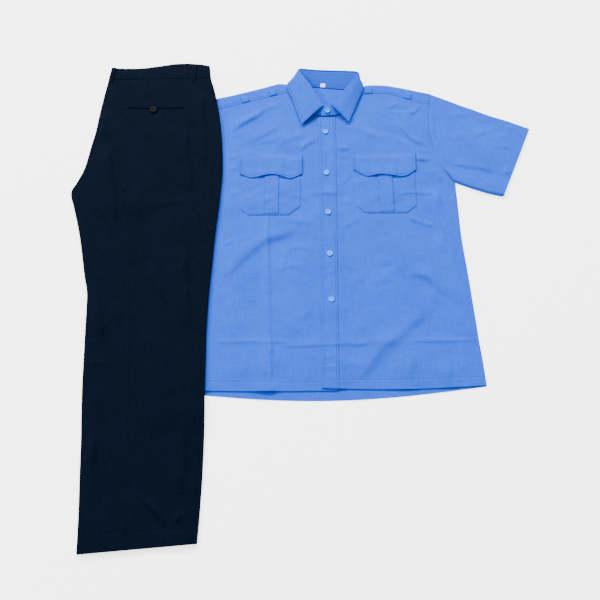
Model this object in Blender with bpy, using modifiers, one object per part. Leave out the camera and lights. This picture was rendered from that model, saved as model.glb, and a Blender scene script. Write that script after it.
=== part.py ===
"""Security guard uniform: a short-sleeved shirt and folded trousers, laid flat.

Metres, +Z up, the surface they lie on is z = 0, and +Y points to the collar and the waistband.
Left and right in names are the wearer's, so the left front is on the +X side.
Each garment is a stack of thin walls: a piece that lies on another one is made from the same
height functions or from the same points, moved out by one seam gap.
"""
import math
from collections import namedtuple

import bmesh
import bpy
import numpy as np
from mathutils import Vector

# Driving sizes of the cloth walls
SHIRT_WALL = 0.0012          # modelled thickness of one layer of shirt cloth
TRIM_WALL = 0.0010           # pockets, flaps, placket and loops
TROUSER_WALL = 0.0014        # one layer of trouser cloth
GAP = 0.00035                # clear distance between two pieces that touch
BODY_AIR = 0.0006            # air between the shirt's back and front where it lies flattest
BACK_MID = SHIRT_WALL / 2
FRONT_MID = BACK_MID + SHIRT_WALL + BODY_AIR
LAP = SHIRT_WALL + GAP       # how far the left front is raised where it lies on the right one
BODY_LOFT = 0.0022           # how far the flat front stands off the back in the middle

# Where the front's loft and folds fade out, and over what length
LOFT_LEFT, LOFT_RIGHT, LOFT_SIDE_RUN = -0.255, 0.345, 0.075
LOFT_BOTTOM, LOFT_END_RUN = -0.240, 0.050
ARMPIT_Y = 0.20
ARMHOLE_LEFT, ARMHOLE_RIGHT = -0.215, 0.302
TROUSERS_REACH, TROUSERS_RUN = -0.187, 0.040
BUTTON_LINE_X, BUTTON_LINE_RUN, BUTTON_LINE_PRESS = 0.052, 0.030, 0.6
LAP_END, LAP_END_NECK, LAP_NECK_Y, LAP_NECK_RUN, LAP_RUN = 0.0900, 0.1250, 0.370, 0.030, 0.018
COLLAR_CENTRE, COLLAR_REACH = (0.0444, 0.455), (0.115, 0.075)

# Driving sizes of the trims
PLACKET_RIGHT = 0.0700       # the placket's right edge; its left edge is the left front's own
PLACKET_TOP = 0.3985
BUTTON_RADIUS = 0.0062
BUTTON_HEIGHT = 0.0022
STAND_BUTTON_RADIUS = 0.0056
POCKET_BUTTON_RADIUS = 0.0078
BUTTON_RIM = 0.0006          # how far a button's rim stands above its middle
BUTTON_STEPS = 14
PLEAT_INSET = 0.0012         # the pleat ends this far above the pocket's lower edge
FLAP_LIFT = 0.0042           # how far a flap's lower edge stands off the pocket
LOOP_WIDTH = 0.0185
LOOP_LENGTH = 0.0170
LABEL_SIZE = (0.011, 0.008)

# Driving sizes of the trousers
HIDDEN_TOP = 0.0064          # top of the three hidden layers, on the bare surface
HIDDEN_EDGE = 0.0052         # the same, at the rounded edge
SHIRT_RISE = 0.0035          # how far the trousers climb over the shirt that they lie on
RISE_RUN = 0.045             # length of that climb across the leg
RISE_END_RUN = 0.050         # and along it
RISE_TOP_Y = 0.545           # where it has faded out at the waist
RISE_BODY_X, RISE_BODY_Y = -0.345, -0.335
RISE_ARM_X, RISE_ARM_Y = -0.485, 0.130
HEM_LIFT_X, HEM_LIFT_Y = -0.275, -0.490
HEM_LIFT_RUN_X, HEM_LIFT_RUN_Y = 0.055, 0.040
CROWN_SHARE = 0.10           # the stack rounds off over this share of its width at each edge
WAIST_WAVE = (0.0020, -0.0055)
EDGE_TUCK = 0.0012           # the top leg's edges lie this far inside the stack's outline
BAND_CROWN = 0.0005
LOOP_BULGE = 0.0004
BELT_LOOP_BULGE = 0.0008
REST_AIR = 0.0002            # extra air under a strip that is laid on facets
BELT_LOOP_WIDTH = 0.010
WELT_LENGTH = 0.134
WELT_HEIGHT = 0.0030
HEM_LIFT = 0.0022

SHIRT_BLUE = (0.125, 0.268, 0.694, 1.0)
BUTTON_BLUE = (0.330, 0.560, 0.900, 1.0)
NAVY = (0.0028, 0.0105, 0.0260, 1.0)
NAVY_BUTTON = (0.016, 0.024, 0.040, 1.0)
LABEL_WHITE = (0.850, 0.870, 0.880, 1.0)

# A section across a panel: its two ends, and how far its middle bows along +Y
Section = namedtuple("Section", "x_in y_in x_out y_out bow")
LEFT_FRONT = [
    Section(0.0345, -0.2360, 0.3670, -0.2300, -0.0050),
    Section(0.0345, -0.1900, 0.3640, -0.1850, -0.0020),
    Section(0.0350, -0.1370, 0.3590, -0.1340, 0.0000),
    Section(0.0355, -0.0900, 0.3560, -0.0900, 0.0000),
    Section(0.0355, -0.0470, 0.3530, -0.0550, 0.0000),
    Section(0.0360, 0.0100, 0.3480, 0.0100, 0.0000),
    Section(0.0365, 0.0700, 0.3420, 0.0750, 0.0000),
    Section(0.0360, 0.1100, 0.3390, 0.1150, 0.0000),
    Section(0.0360, 0.1500, 0.3375, 0.1550, 0.0000),
    Section(0.0360, 0.1900, 0.3360, 0.1980, 0.0000),
    Section(0.0360, 0.2220, 0.3345, 0.2335, 0.0000),
    Section(0.0350, 0.2600, 0.3130, 0.2697, 0.0000),
    Section(0.0345, 0.2920, 0.3010, 0.2950, 0.0000),
    Section(0.0335, 0.3180, 0.2960, 0.3170, 0.0000),
    Section(0.0330, 0.3420, 0.2925, 0.3390, 0.0000),
    Section(0.0325, 0.3720, 0.2900, 0.3620, 0.0000),
    Section(0.0320, 0.3990, 0.2890, 0.3850, 0.0000),
    Section(0.0850, 0.4100, 0.2898, 0.4060, 0.0010),
    Section(0.1120, 0.4330, 0.2904, 0.4230, 0.0040),
    Section(0.1270, 0.4585, 0.2909, 0.4365, 0.0070),
]
RIGHT_FRONT = [
    Section(0.0670, -0.2410, -0.2770, -0.2400, -0.0020),
    Section(0.0680, -0.1900, -0.2735, -0.1850, 0.0000),
    Section(0.0680, -0.1360, -0.2700, -0.1360, 0.0000),
    Section(0.0680, -0.0900, -0.2670, -0.0900, 0.0000),
    Section(0.0680, -0.0470, -0.2640, -0.0550, 0.0000),
    Section(0.0685, 0.0100, -0.2580, 0.0100, 0.0000),
    Section(0.0690, 0.0700, -0.2520, 0.0770, 0.0000),
    Section(0.0690, 0.1100, -0.2500, 0.1150, 0.0000),
    Section(0.0690, 0.1500, -0.2490, 0.1550, 0.0000),
    Section(0.0685, 0.1900, -0.2480, 0.1980, 0.0000),
    Section(0.0680, 0.2230, -0.2457, 0.2335, 0.0000),
    Section(0.0670, 0.2630, -0.2242, 0.2677, 0.0000),
    Section(0.0660, 0.2930, -0.2122, 0.2916, 0.0000),
    Section(0.0655, 0.3180, -0.2072, 0.3123, 0.0000),
    Section(0.0650, 0.3430, -0.2037, 0.3331, 0.0000),
    Section(0.0645, 0.3720, -0.2012, 0.3548, 0.0000),
    Section(0.0640, 0.4000, -0.2002, 0.3765, 0.0000),
    Section(0.0060, 0.4100, -0.2009, 0.3950, 0.0000),
    Section(-0.0200, 0.4350, -0.2014, 0.4080, 0.0020),
    Section(-0.0380, 0.4680, -0.2019, 0.4218, 0.0000),
]
BACK = [
    Section(-0.2765, -0.2430, 0.3668, -0.2320, -0.0240),
    Section(-0.2735, -0.1880, 0.3640, -0.1870, -0.0040),
    Section(-0.2700, -0.1360, 0.3590, -0.1340, 0.0000),
    Section(-0.2640, -0.0540, 0.3530, -0.0540, 0.0000),
    Section(-0.2520, 0.0780, 0.3415, 0.0780, 0.0000),
    Section(-0.2457, 0.2335, 0.3345, 0.2335, 0.0000),
    Section(-0.2242, 0.2677, 0.3130, 0.2697, 0.0000),
    Section(-0.2122, 0.2916, 0.3010, 0.2950, 0.0000),
    Section(-0.2072, 0.3123, 0.2960, 0.3170, 0.0000),
    Section(-0.2037, 0.3331, 0.2925, 0.3390, 0.0000),
    Section(-0.2010, 0.3600, 0.2902, 0.3600, 0.0000),
]

# The yoke, column by column: where its shoulder fold or back neck edge and its front seam lie
YokeColumn = namedtuple("YokeColumn", "x shoulder_y front_y")
YOKE_BACK_SEAM = 0.3605
YOKE_BACK_MIDDLE = 0.3850
NECK_LEFT, NECK_RIGHT = -0.0385, 0.1275
YOKE_SEAM_GAP = 0.0006
# The left armhole from the underarm up, which both sleeves follow: the right one mirrors it
ArmholePoint = namedtuple("ArmholePoint", "x y")
ARMHOLE = [
    ArmholePoint(0.3345, 0.2335),
    ArmholePoint(0.3236, 0.2520),
    ArmholePoint(0.3130, 0.2697),
    ArmholePoint(0.3010, 0.2950),
    ArmholePoint(0.2960, 0.3170),
    ArmholePoint(0.2925, 0.3390),
    ArmholePoint(0.2900, 0.3620),
    ArmholePoint(0.2890, 0.3850),
    ArmholePoint(0.2905, 0.4255),
    ArmholePoint(0.2920, 0.4660),
]
ARMHOLE_GAP = 0.0008
RIGHT_ARMHOLE_SCALE = 0.944  # the right side lies a little lower, so its armhole is shorter on the surface
YOKE = [
    YokeColumn(-0.2022, 0.4530, 0.4222),
    YokeColumn(-0.1790, 0.4585, 0.4288),
    YokeColumn(-0.1550, 0.4650, 0.4356),
    YokeColumn(-0.1300, 0.4720, 0.4427),
    YokeColumn(-0.1050, 0.4795, 0.4497),
    YokeColumn(-0.0820, 0.4868, 0.4562),
    YokeColumn(-0.0600, 0.4940, 0.4624),
    YokeColumn(-0.0385, 0.4920, 0.4685),
    YokeColumn(-0.0330, 0.4900, 0.0),
    YokeColumn(-0.0050, 0.4870, 0.0),
    YokeColumn(0.0200, 0.4850, 0.0),
    YokeColumn(0.0450, 0.4825, 0.0),
    YokeColumn(0.0700, 0.4800, 0.0),
    YokeColumn(0.0950, 0.4785, 0.0),
    YokeColumn(0.1220, 0.4810, 0.0),
    YokeColumn(0.1275, 0.4840, 0.4600),
    YokeColumn(0.1450, 0.4885, 0.4640),
    YokeColumn(0.1620, 0.4905, 0.4665),
    YokeColumn(0.1950, 0.4885, 0.4665),
    YokeColumn(0.2300, 0.4810, 0.4540),
    YokeColumn(0.2620, 0.4730, 0.4425),
    YokeColumn(0.2910, 0.4660, 0.4370),
]

# A sleeve, ring by ring from armhole to cuff: its shoulder end and underarm end, the share of the
# armhole's curve that it keeps, and how far its front stands off its back
Ring = namedtuple("Ring", "x_top y_top x_under y_under curve loft")
SLEEVE = [
    Ring(0.2920, 0.4660, 0.3345, 0.2335, 1.00, 0.0000),
    Ring(0.3120, 0.4570, 0.3470, 0.2280, 0.85, 0.0010),
    Ring(0.3350, 0.4470, 0.3580, 0.2235, 0.65, 0.0020),
    Ring(0.3610, 0.4350, 0.3690, 0.2190, 0.45, 0.0030),
    Ring(0.3900, 0.4230, 0.3870, 0.2125, 0.28, 0.0036),
    Ring(0.4290, 0.4060, 0.4040, 0.2065, 0.14, 0.0036),
    Ring(0.4650, 0.3930, 0.4200, 0.2020, 0.04, 0.0030),
    Ring(0.4960, 0.3800, 0.4330, 0.1990, 0.00, 0.0024),
    Ring(0.5170, 0.3710, 0.4420, 0.1980, 0.00, 0.0018),
]
SLEEVE_AXIS = 0.0444         # the shirt's centre line at the shoulders

# A fold in the shirt's front: a trough (negative) or ridge along a line, with soft ends
Fold = namedtuple("Fold", "x0 y0 x1 y1 width height")
SHIRT_FOLDS = [
    Fold(-0.031, 0.098, -0.190, 0.000, 0.020, -0.0018),
    Fold(0.257, -0.098, 0.120, -0.217, 0.022, -0.0018),
    Fold(0.202, 0.011, 0.313, -0.055, 0.018, -0.0015),
    Fold(0.140, 0.372, 0.280, 0.328, 0.018, -0.0012),
    Fold(0.260, 0.293, 0.318, 0.240, 0.012, 0.0014),
    Fold(-0.180, 0.355, -0.057, 0.412, 0.018, -0.0012),
    Fold(-0.083, 0.140, -0.076, -0.226, 0.010, 0.0010),
    Fold(0.095, -0.140, 0.350, -0.137, 0.010, 0.0009),
    Fold(-0.200, -0.140, 0.020, -0.140, 0.010, 0.0009),
]

# A chest pocket and its flap
Pocket = namedtuple("Pocket", "side left right top bottom clip_left clip_right pleat_left pleat_right")
POCKETS = [
    Pocket("right", -0.140, -0.0085, 0.284, 0.150, 0.017, 0.026, -0.089, -0.057),
    Pocket("left", 0.1135, 0.2475, 0.286, 0.155, 0.020, 0.023, 0.1640, 0.1970),
]
# A flap, column by column from its left side: top edge, lower edge, and how far that edge lifts
FlapColumn = namedtuple("FlapColumn", "x top bottom lift")
FLAPS = {
    "right": [
        FlapColumn(-0.1440, 0.2975, 0.2520, 0.30),
        FlapColumn(-0.1320, 0.3000, 0.2455, 0.60),
        FlapColumn(-0.1190, 0.3020, 0.2410, 0.80),
        FlapColumn(-0.1040, 0.3045, 0.2430, 1.00),
        FlapColumn(-0.0900, 0.3062, 0.2465, 1.00),
        FlapColumn(-0.0750, 0.3070, 0.2490, 0.90),
        FlapColumn(-0.0600, 0.3062, 0.2475, 0.95),
        FlapColumn(-0.0450, 0.3045, 0.2425, 1.00),
        FlapColumn(-0.0310, 0.3030, 0.2390, 0.80),
        FlapColumn(-0.0180, 0.3015, 0.2445, 0.55),
        FlapColumn(-0.0050, 0.3005, 0.2525, 0.30),
    ],
    "left": [
        FlapColumn(0.1105, 0.3020, 0.2630, 0.30),
        FlapColumn(0.1245, 0.3035, 0.2525, 0.60),
        FlapColumn(0.1400, 0.3048, 0.2450, 0.85),
        FlapColumn(0.1530, 0.3056, 0.2468, 1.00),
        FlapColumn(0.1650, 0.3062, 0.2485, 0.95),
        FlapColumn(0.1780, 0.3068, 0.2490, 0.85),
        FlapColumn(0.1920, 0.3073, 0.2475, 0.90),
        FlapColumn(0.2050, 0.3077, 0.2452, 1.00),
        FlapColumn(0.2170, 0.3080, 0.2440, 0.95),
        FlapColumn(0.2330, 0.3080, 0.2490, 0.60),
        FlapColumn(0.2500, 0.3078, 0.2625, 0.30),
    ],
}
FRONT_BUTTONS = [(0.0480, 0.3610), (0.0490, 0.2550), (0.0515, 0.1570), (0.0540, 0.0580), (0.0560, -0.0460)]
# Shoulder loops: centre, and the way they point, in degrees from +Y
ShoulderLoop = namedtuple("ShoulderLoop", "name x y turn")
SHOULDER_LOOPS = [
    ShoulderLoop("outer_right", -0.1378, 0.4498, 16.0),
    ShoulderLoop("inner_right", -0.0735, 0.4690, 16.0),
    ShoulderLoop("inner_left", 0.1495, 0.4745, -4.0),
    ShoulderLoop("outer_left", 0.2405, 0.4600, -17.0),
]

# The collar, station by station from the right leaf's front edge round the back to the left one:
# the neck seam, the fold at the top, the fall's outer edge, and the share by which it hangs behind
Station = namedtuple("Station", "seam_x seam_y seam_z fold_x fold_y fold_z edge_x edge_y edge_z back")
COLLAR = [
    Station(0.0330, 0.4050, 0.0048, 0.0440, 0.4270, 0.0140, -0.0060, 0.3790, 0.0100, 0.0),
    Station(0.0170, 0.4100, 0.0042, 0.0350, 0.4440, 0.0150, -0.0120, 0.3980, 0.0086, 0.0),
    Station(-0.0010, 0.4180, 0.0041, 0.0235, 0.4640, 0.0160, -0.0190, 0.4200, 0.0078, 0.0),
    Station(-0.0170, 0.4330, 0.0041, 0.0120, 0.4840, 0.0165, -0.0265, 0.4450, 0.0074, 0.0),
    Station(-0.0300, 0.4530, 0.0041, 0.0000, 0.5020, 0.0165, -0.0350, 0.4660, 0.0072, 0.0),
    Station(-0.0390, 0.4740, 0.0041, -0.0095, 0.5170, 0.0160, -0.0415, 0.4860, 0.0068, 0.0),
    Station(-0.0310, 0.4865, 0.0034, -0.0130, 0.5240, 0.0154, -0.0380, 0.5030, 0.0048, 0.4),
    Station(-0.0170, 0.4875, 0.0022, -0.0070, 0.5250, 0.0152, -0.0190, 0.4990, 0.0012, 0.9),
    Station(0.0040, 0.4860, 0.0022, 0.0140, 0.5230, 0.0145, 0.0040, 0.4965, 0.0009, 1.0),
    Station(0.0450, 0.4820, 0.0022, 0.0500, 0.5210, 0.0140, 0.0450, 0.4930, 0.0009, 1.0),
    Station(0.0860, 0.4780, 0.0022, 0.0940, 0.5195, 0.0140, 0.0860, 0.4890, 0.0009, 1.0),
    Station(0.1080, 0.4785, 0.0022, 0.1160, 0.5170, 0.0145, 0.1100, 0.4905, 0.0012, 1.0),
    Station(0.1220, 0.4790, 0.0034, 0.1260, 0.5130, 0.0150, 0.1340, 0.4950, 0.0044, 0.4),
    Station(0.1290, 0.4680, 0.0041, 0.1220, 0.5060, 0.0158, 0.1380, 0.4810, 0.0068, 0.0),
    Station(0.1240, 0.4500, 0.0046, 0.1120, 0.4940, 0.0162, 0.1325, 0.4630, 0.0072, 0.0),
    Station(0.1150, 0.4330, 0.0054, 0.0990, 0.4760, 0.0164, 0.1245, 0.4430, 0.0074, 0.0),
    Station(0.1020, 0.4190, 0.0059, 0.0850, 0.4580, 0.0160, 0.1170, 0.4230, 0.0080, 0.0),
    Station(0.0870, 0.4100, 0.0061, 0.0720, 0.4430, 0.0152, 0.1090, 0.4030, 0.0090, 0.0),
    Station(0.0710, 0.4045, 0.0068, 0.0600, 0.4300, 0.0146, 0.1020, 0.3850, 0.0104, 0.0),
]
# The stand's two ends, which lap at the centre front: the right end below, the left end above
StandEnd = namedtuple("StandEnd", "seam_x seam_y seam_z top_x top_y top_z")
STAND_UNDER = [
    StandEnd(0.0640, 0.4085, 0.0046, 0.0600, 0.4245, 0.0082),
    StandEnd(0.0480, 0.4070, 0.0046, 0.0530, 0.4250, 0.0088),
]
STAND_OVER = [
    StandEnd(0.0540, 0.4030, 0.0072, 0.0540, 0.4285, 0.0112),
    StandEnd(0.0380, 0.4030, 0.0066, 0.0440, 0.4250, 0.0106),
]
# The fall between its fold and its edge: on a leaf, a share of the way with a rise; behind the
# neck, a step from the fold. The lowest point there, past the drop, lies just above the surface.
FallPoint = namedtuple("FallPoint", "share rise back_y back_z")
FALL_POINTS = [
    FallPoint(0.10, 0.0006, 0.0040, -0.0022),
    FallPoint(0.40, 0.0018, 0.0050, -0.0078),
    FallPoint(0.72, 0.0008, -0.0020, -0.0140),
]
FALL_FOOT_DROP = -0.0100
FALL_FOOT_Z = 0.0014
STAND_TUCK = 0.0027          # how far the stand's top edge stays below the fall
STAND_CROWN = 0.0006
NECK_BUTTON_X = 0.0535
LABEL_FOOT = (0.0440, 0.4835)

# The trousers, section by section from waist seam to hem: both edges and the side seam's inset
Leg = namedtuple("Leg", "x_left y_left x_right y_right seam_inset")
WAIST_SECTION = Leg(-0.4540, 0.5350, -0.2230, 0.5420, 0.004)
TROUSERS = [
    Leg(-0.4590, 0.4985, -0.2180, 0.5030, 0.004),
    Leg(-0.4640, 0.4720, -0.2080, 0.4700, 0.005),
    Leg(-0.4690, 0.4350, -0.2010, 0.4360, 0.007),
    Leg(-0.4735, 0.3980, -0.1945, 0.4000, 0.011),
    Leg(-0.4775, 0.3600, -0.1895, 0.3620, 0.015),
    Leg(-0.4850, 0.3170, -0.1855, 0.3180, 0.020),
    Leg(-0.4930, 0.2690, -0.1830, 0.2680, 0.023),
    Leg(-0.5060, 0.2330, -0.1835, 0.2330, 0.022),
    Leg(-0.5175, 0.2050, -0.1850, 0.2050, 0.021),
    Leg(-0.5080, 0.1700, -0.1870, 0.1720, 0.020),
    Leg(-0.4950, 0.1260, -0.1910, 0.1260, 0.018),
    Leg(-0.4850, 0.0860, -0.1940, 0.0860, 0.016),
    Leg(-0.4765, 0.0460, -0.1960, 0.0460, 0.014),
    Leg(-0.4690, 0.0090, -0.1985, 0.0090, 0.011),
    Leg(-0.4600, -0.0290, -0.2005, -0.0290, 0.009),
    Leg(-0.4570, -0.0700, -0.2020, -0.0700, 0.008),
    Leg(-0.4550, -0.1200, -0.2030, -0.1200, 0.008),
    Leg(-0.4525, -0.1730, -0.2020, -0.1730, 0.008),
    Leg(-0.4500, -0.2280, -0.2010, -0.2280, 0.008),
    Leg(-0.4460, -0.2850, -0.1990, -0.2830, 0.008),
    Leg(-0.4410, -0.3450, -0.1980, -0.3400, 0.007),
    Leg(-0.4370, -0.4100, -0.1980, -0.4010, 0.007),
    Leg(-0.4335, -0.4600, -0.1995, -0.4530, 0.007),
    Leg(-0.4310, -0.5050, -0.2010, -0.4950, 0.007),
    Leg(-0.4290, -0.5540, -0.2030, -0.5350, 0.007),
]
LEG_COLUMNS = 9
TROUSER_FOLDS = [
    Fold(-0.432, 0.368, -0.403, 0.219, 0.007, 0.0009),
    Fold(-0.403, 0.219, -0.381, 0.065, 0.007, 0.0010),
    Fold(-0.381, 0.065, -0.367, -0.115, 0.007, 0.0010),
    Fold(-0.367, -0.115, -0.357, -0.262, 0.007, 0.0010),
    Fold(-0.357, -0.262, -0.342, -0.546, 0.007, 0.0010),
    Fold(-0.452, 0.360, -0.432, 0.140, 0.016, -0.0012),
    Fold(-0.450, 0.040, -0.422, -0.340, 0.014, -0.0011),
    Fold(-0.263, 0.360, -0.255, 0.215, 0.012, -0.0010),
    Fold(-0.346, 0.018, -0.288, -0.068, 0.012, -0.0010),
    Fold(-0.338, -0.435, -0.270, -0.502, 0.014, -0.0010),
]
WELT_CENTRE = (-0.3440, 0.4240)
POCKET_BUTTON = (-0.3470, 0.4160)
BeltLoop = namedtuple("BeltLoop", "name foot_x foot_y head_x head_y")
BELT_LOOPS = [
    BeltLoop("side_back", -0.2610, 0.4860, -0.2590, 0.5405),
    BeltLoop("centre_back", -0.4546, 0.4840, -0.4480, 0.5335),
]
# The trousers' edge, from the surface up: height as a share of the edge, and how far it is cut in
EDGE_PROFILE = [(0.00, 0.0016), (0.10, 0.0002), (0.24, 0.0003), (0.34, 0.0022), (0.44, 0.0003),
                (0.58, 0.0004), (0.67, 0.0022), (0.76, 0.0003), (0.90, 0.0004), (1.00, 0.0014)]

COLLECTION = "security_guard_uniform"


def clear_scene():
    """Remove what a new Blender file holds, and make the part's own collection."""
    for old in list(bpy.data.objects):
        bpy.data.objects.remove(old, do_unlink=True)
    group = bpy.data.collections.new(COLLECTION)
    bpy.context.scene.collection.children.link(group)
    return group


def make_material(name, color, roughness):
    """Return a Principled material of one colour."""
    material = bpy.data.materials.new(name)
    material.use_nodes = True
    shader = material.node_tree.nodes["Principled BSDF"]
    shader.inputs["Base Color"].default_value = color
    shader.inputs["Roughness"].default_value = roughness
    shader.inputs["Metallic"].default_value = 0.0
    material.diffuse_color = color
    return material


def smoothstep(value):
    """Ease from 0 to 1, with level ends."""
    t = min(1.0, max(0.0, value))
    return t * t * (3.0 - 2.0 * t)


def fold_height(folds, x, y):
    """Sum the folds' heights at a point: a bell across each line, fading past its ends."""
    total = 0.0
    for fold in folds:
        along = Vector((fold.x1 - fold.x0, fold.y1 - fold.y0))
        reach = Vector((x - fold.x0, y - fold.y0))
        share = reach.dot(along) / along.length_squared
        nearest = along * min(1.0, max(0.0, share))
        distance = (reach - nearest).length / fold.width
        if distance < 4.0:
            total += fold.height * math.exp(-distance * distance)
    return total


def collar_seat(x, y):
    """Share of the flat seat under the collar and the flaps, where the front keeps no folds."""
    dx = (x - COLLAR_CENTRE[0]) / COLLAR_REACH[0]
    dy = (y - COLLAR_CENTRE[1]) / COLLAR_REACH[1]
    return smoothstep(1.6 - math.hypot(dx, dy))


def yoke_seam_y(x):
    """Where the yoke's front seam crosses a place across the shirt."""
    seamed = [column for column in YOKE if column.front_y > 0.0]
    return float(np.interp(x, [column.x for column in seamed], [column.front_y for column in seamed]))


def front_height(x, y):
    """Height of the middle of the front's wall: loft and folds, both fading out at the edges."""
    seam_y = yoke_seam_y(x)
    side = min(x - LOFT_LEFT, LOFT_RIGHT - x) / LOFT_SIDE_RUN
    ends = min(y - LOFT_BOTTOM, seam_y - 0.004 - y) / LOFT_END_RUN
    armhole = 1.0
    if y > ARMPIT_Y:
        armhole = min(x - ARMHOLE_LEFT, ARMHOLE_RIGHT - x) / LOFT_END_RUN
    window = smoothstep(side) * smoothstep(ends) * smoothstep(armhole)
    window *= (1.0 - collar_seat(x, y)) * smoothstep((x - TROUSERS_REACH) / TROUSERS_RUN)
    centre = 1.0 - BUTTON_LINE_PRESS * math.exp(-((x - BUTTON_LINE_X) / BUTTON_LINE_RUN) ** 2)
    return FRONT_MID + window * max(0.0, BODY_LOFT * centre + fold_height(SHIRT_FOLDS, x, y))


def left_front_height(x, y):
    """The left front rises by one layer over the right front's edge, further out near the neck."""
    lap_end = LAP_END + (LAP_END_NECK - LAP_END) * smoothstep((y - LAP_NECK_Y) / LAP_NECK_RUN)
    return front_height(x, y) + LAP * smoothstep((lap_end - x) / LAP_RUN)


def section_point(section, share):
    """Point on a section at a share of its length, bowed along +Y."""
    x = section.x_in + (section.x_out - section.x_in) * share
    y = section.y_in + (section.y_out - section.y_in) * share
    return x, y + section.bow * math.sin(math.pi * share)


def armhole_x(y):
    """Where the left armhole seam crosses a height up the shirt."""
    return float(np.interp(y, [point.y for point in ARMHOLE], [point.x for point in ARMHOLE]))


def to_right_side(x, y):
    """Mirror a point of the left sleeve or armhole to the right side, which lies a little lower."""
    return 2 * SLEEVE_AXIS - x, ARMHOLE[0].y + (y - ARMHOLE[0].y) * RIGHT_ARMHOLE_SCALE


def right_armhole_x(y):
    """Where the right armhole seam crosses a height up the shirt."""
    return 2 * SLEEVE_AXIS - armhole_x(ARMHOLE[0].y + (y - ARMHOLE[0].y) / RIGHT_ARMHOLE_SCALE)


def grid_mesh(name, rows, wrap=False):
    """Make an open surface from rows of points of equal length; wrap joins the last column to the first."""
    columns = len(rows[0])
    points = [tuple(point) for row in rows for point in row]
    faces = []
    last = columns if wrap else columns - 1
    for r in range(len(rows) - 1):
        for c in range(last):
            a = r * columns + c
            b = r * columns + (c + 1) % columns
            faces.append((a, b, b + columns, a + columns))
    mesh = bpy.data.meshes.new(name)
    mesh.from_pydata(points, [], faces)
    return mesh


def face_up(mesh, upward=True):
    """Triangulate an open surface and turn its faces to one side."""
    bm = bmesh.new()
    bm.from_mesh(mesh)
    bmesh.ops.triangulate(bm, faces=bm.faces[:])
    bmesh.ops.recalc_face_normals(bm, faces=bm.faces[:])
    total = sum(face.normal.z * face.calc_area() for face in bm.faces)
    if (total > 0) != upward:
        bmesh.ops.reverse_faces(bm, faces=bm.faces[:])
    bm.to_mesh(mesh)
    bm.free()
    return mesh


def add_object(group, name, mesh, material):
    """Link a mesh as a named object with its material."""
    obj = bpy.data.objects.new(name, mesh)
    group.objects.link(obj)
    mesh.materials.append(material)
    return obj


def add_wall(group, name, mesh, material, thickness):
    """Link an open surface and give it an even wall on both sides of the surface."""
    obj = add_object(group, name, mesh, material)
    solid = obj.modifiers.new("wall", "SOLIDIFY")
    solid.thickness = thickness
    solid.offset = 0.0
    solid.use_even_offset = True
    solid.use_quality_normals = True
    for polygon in mesh.polygons:
        polygon.use_smooth = True
    return obj


def turned_wall(group, name, mesh, material, thickness):
    """Make a wall from a surface that turns round a fold, so that no one side of it faces up."""
    bm = bmesh.new()
    bm.from_mesh(mesh)
    bmesh.ops.triangulate(bm, faces=bm.faces[:])
    bmesh.ops.recalc_face_normals(bm, faces=bm.faces[:])
    bm.to_mesh(mesh)
    bm.free()
    return add_wall(group, name, mesh, material, thickness)


def panel(group, name, sections, shares, height, material, thickness, under_yoke=True):
    """Make a panel's wall from its sections and a height function; a front ends at the yoke's seam."""
    rows = []
    for section in sections:
        row = []
        for share in shares:
            x, y = section_point(section, share)
            if under_yoke and section is sections[-1]:
                y = yoke_seam_y(x) - YOKE_SEAM_GAP
            row.append((x, y, height(x, y)))
        rows.append(row)
    mesh = face_up(grid_mesh(name, rows))
    return add_wall(group, name, mesh, material, thickness)


def patch(group, name, source, cuts, lift, material, thickness):
    """Copy the part of a panel's surface inside straight cuts and move it out by lift.

    Each cut is a point and a direction that points out of the patch.
    """
    bm = bmesh.new()
    bm.from_mesh(source.data)
    for (x, y), (nx, ny) in cuts:
        everything = bm.verts[:] + bm.edges[:] + bm.faces[:]
        bmesh.ops.bisect_plane(bm, geom=everything, dist=1e-6, plane_co=(x, y, 0.0),
                               plane_no=(nx, ny, 0.0), clear_outer=True)
    bmesh.ops.remove_doubles(bm, verts=bm.verts[:], dist=0.0004)
    for vert in bm.verts:
        vert.co.z += lift
    mesh = bpy.data.meshes.new(name)
    bm.to_mesh(mesh)
    bm.free()
    face_up(mesh)
    return add_wall(group, name, mesh, material, thickness)


def top_height(pieces, x, y):
    """Highest point of some finished walls straight above or below a spot, 0 beside them."""
    best = 0.0
    for piece in pieces:
        hit, place, _, _ = piece.ray_cast(Vector((x, y, 1.0)), Vector((0.0, 0.0, -1.0)))
        if hit:
            best = max(best, place.z)
    return best


def settle():
    """Let Blender work out the walls made so far, so that the next pieces can rest on them."""
    bpy.context.view_layer.update()


def build_body(group, blue):
    """Back, both fronts and the yoke."""
    even = [i / 14 for i in range(15)]
    panel(group, "shirt_back", BACK, even, lambda x, y: BACK_MID, blue, SHIRT_WALL, under_yoke=False)
    lapped = [0.0, 0.055, 0.11, 0.14, 0.17, 0.24, 0.31, 0.38, 0.45, 0.52, 0.59, 0.66, 0.73, 0.80, 0.87,
              0.935, 1.0]
    plain = [i / 15 for i in range(16)]
    left = panel(group, "shirt_front_left", LEFT_FRONT, lapped, left_front_height, blue, SHIRT_WALL)
    right = panel(group, "shirt_front_right", RIGHT_FRONT, plain, front_height, blue, SHIRT_WALL)
    build_yoke(group, blue)
    return left, right


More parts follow.
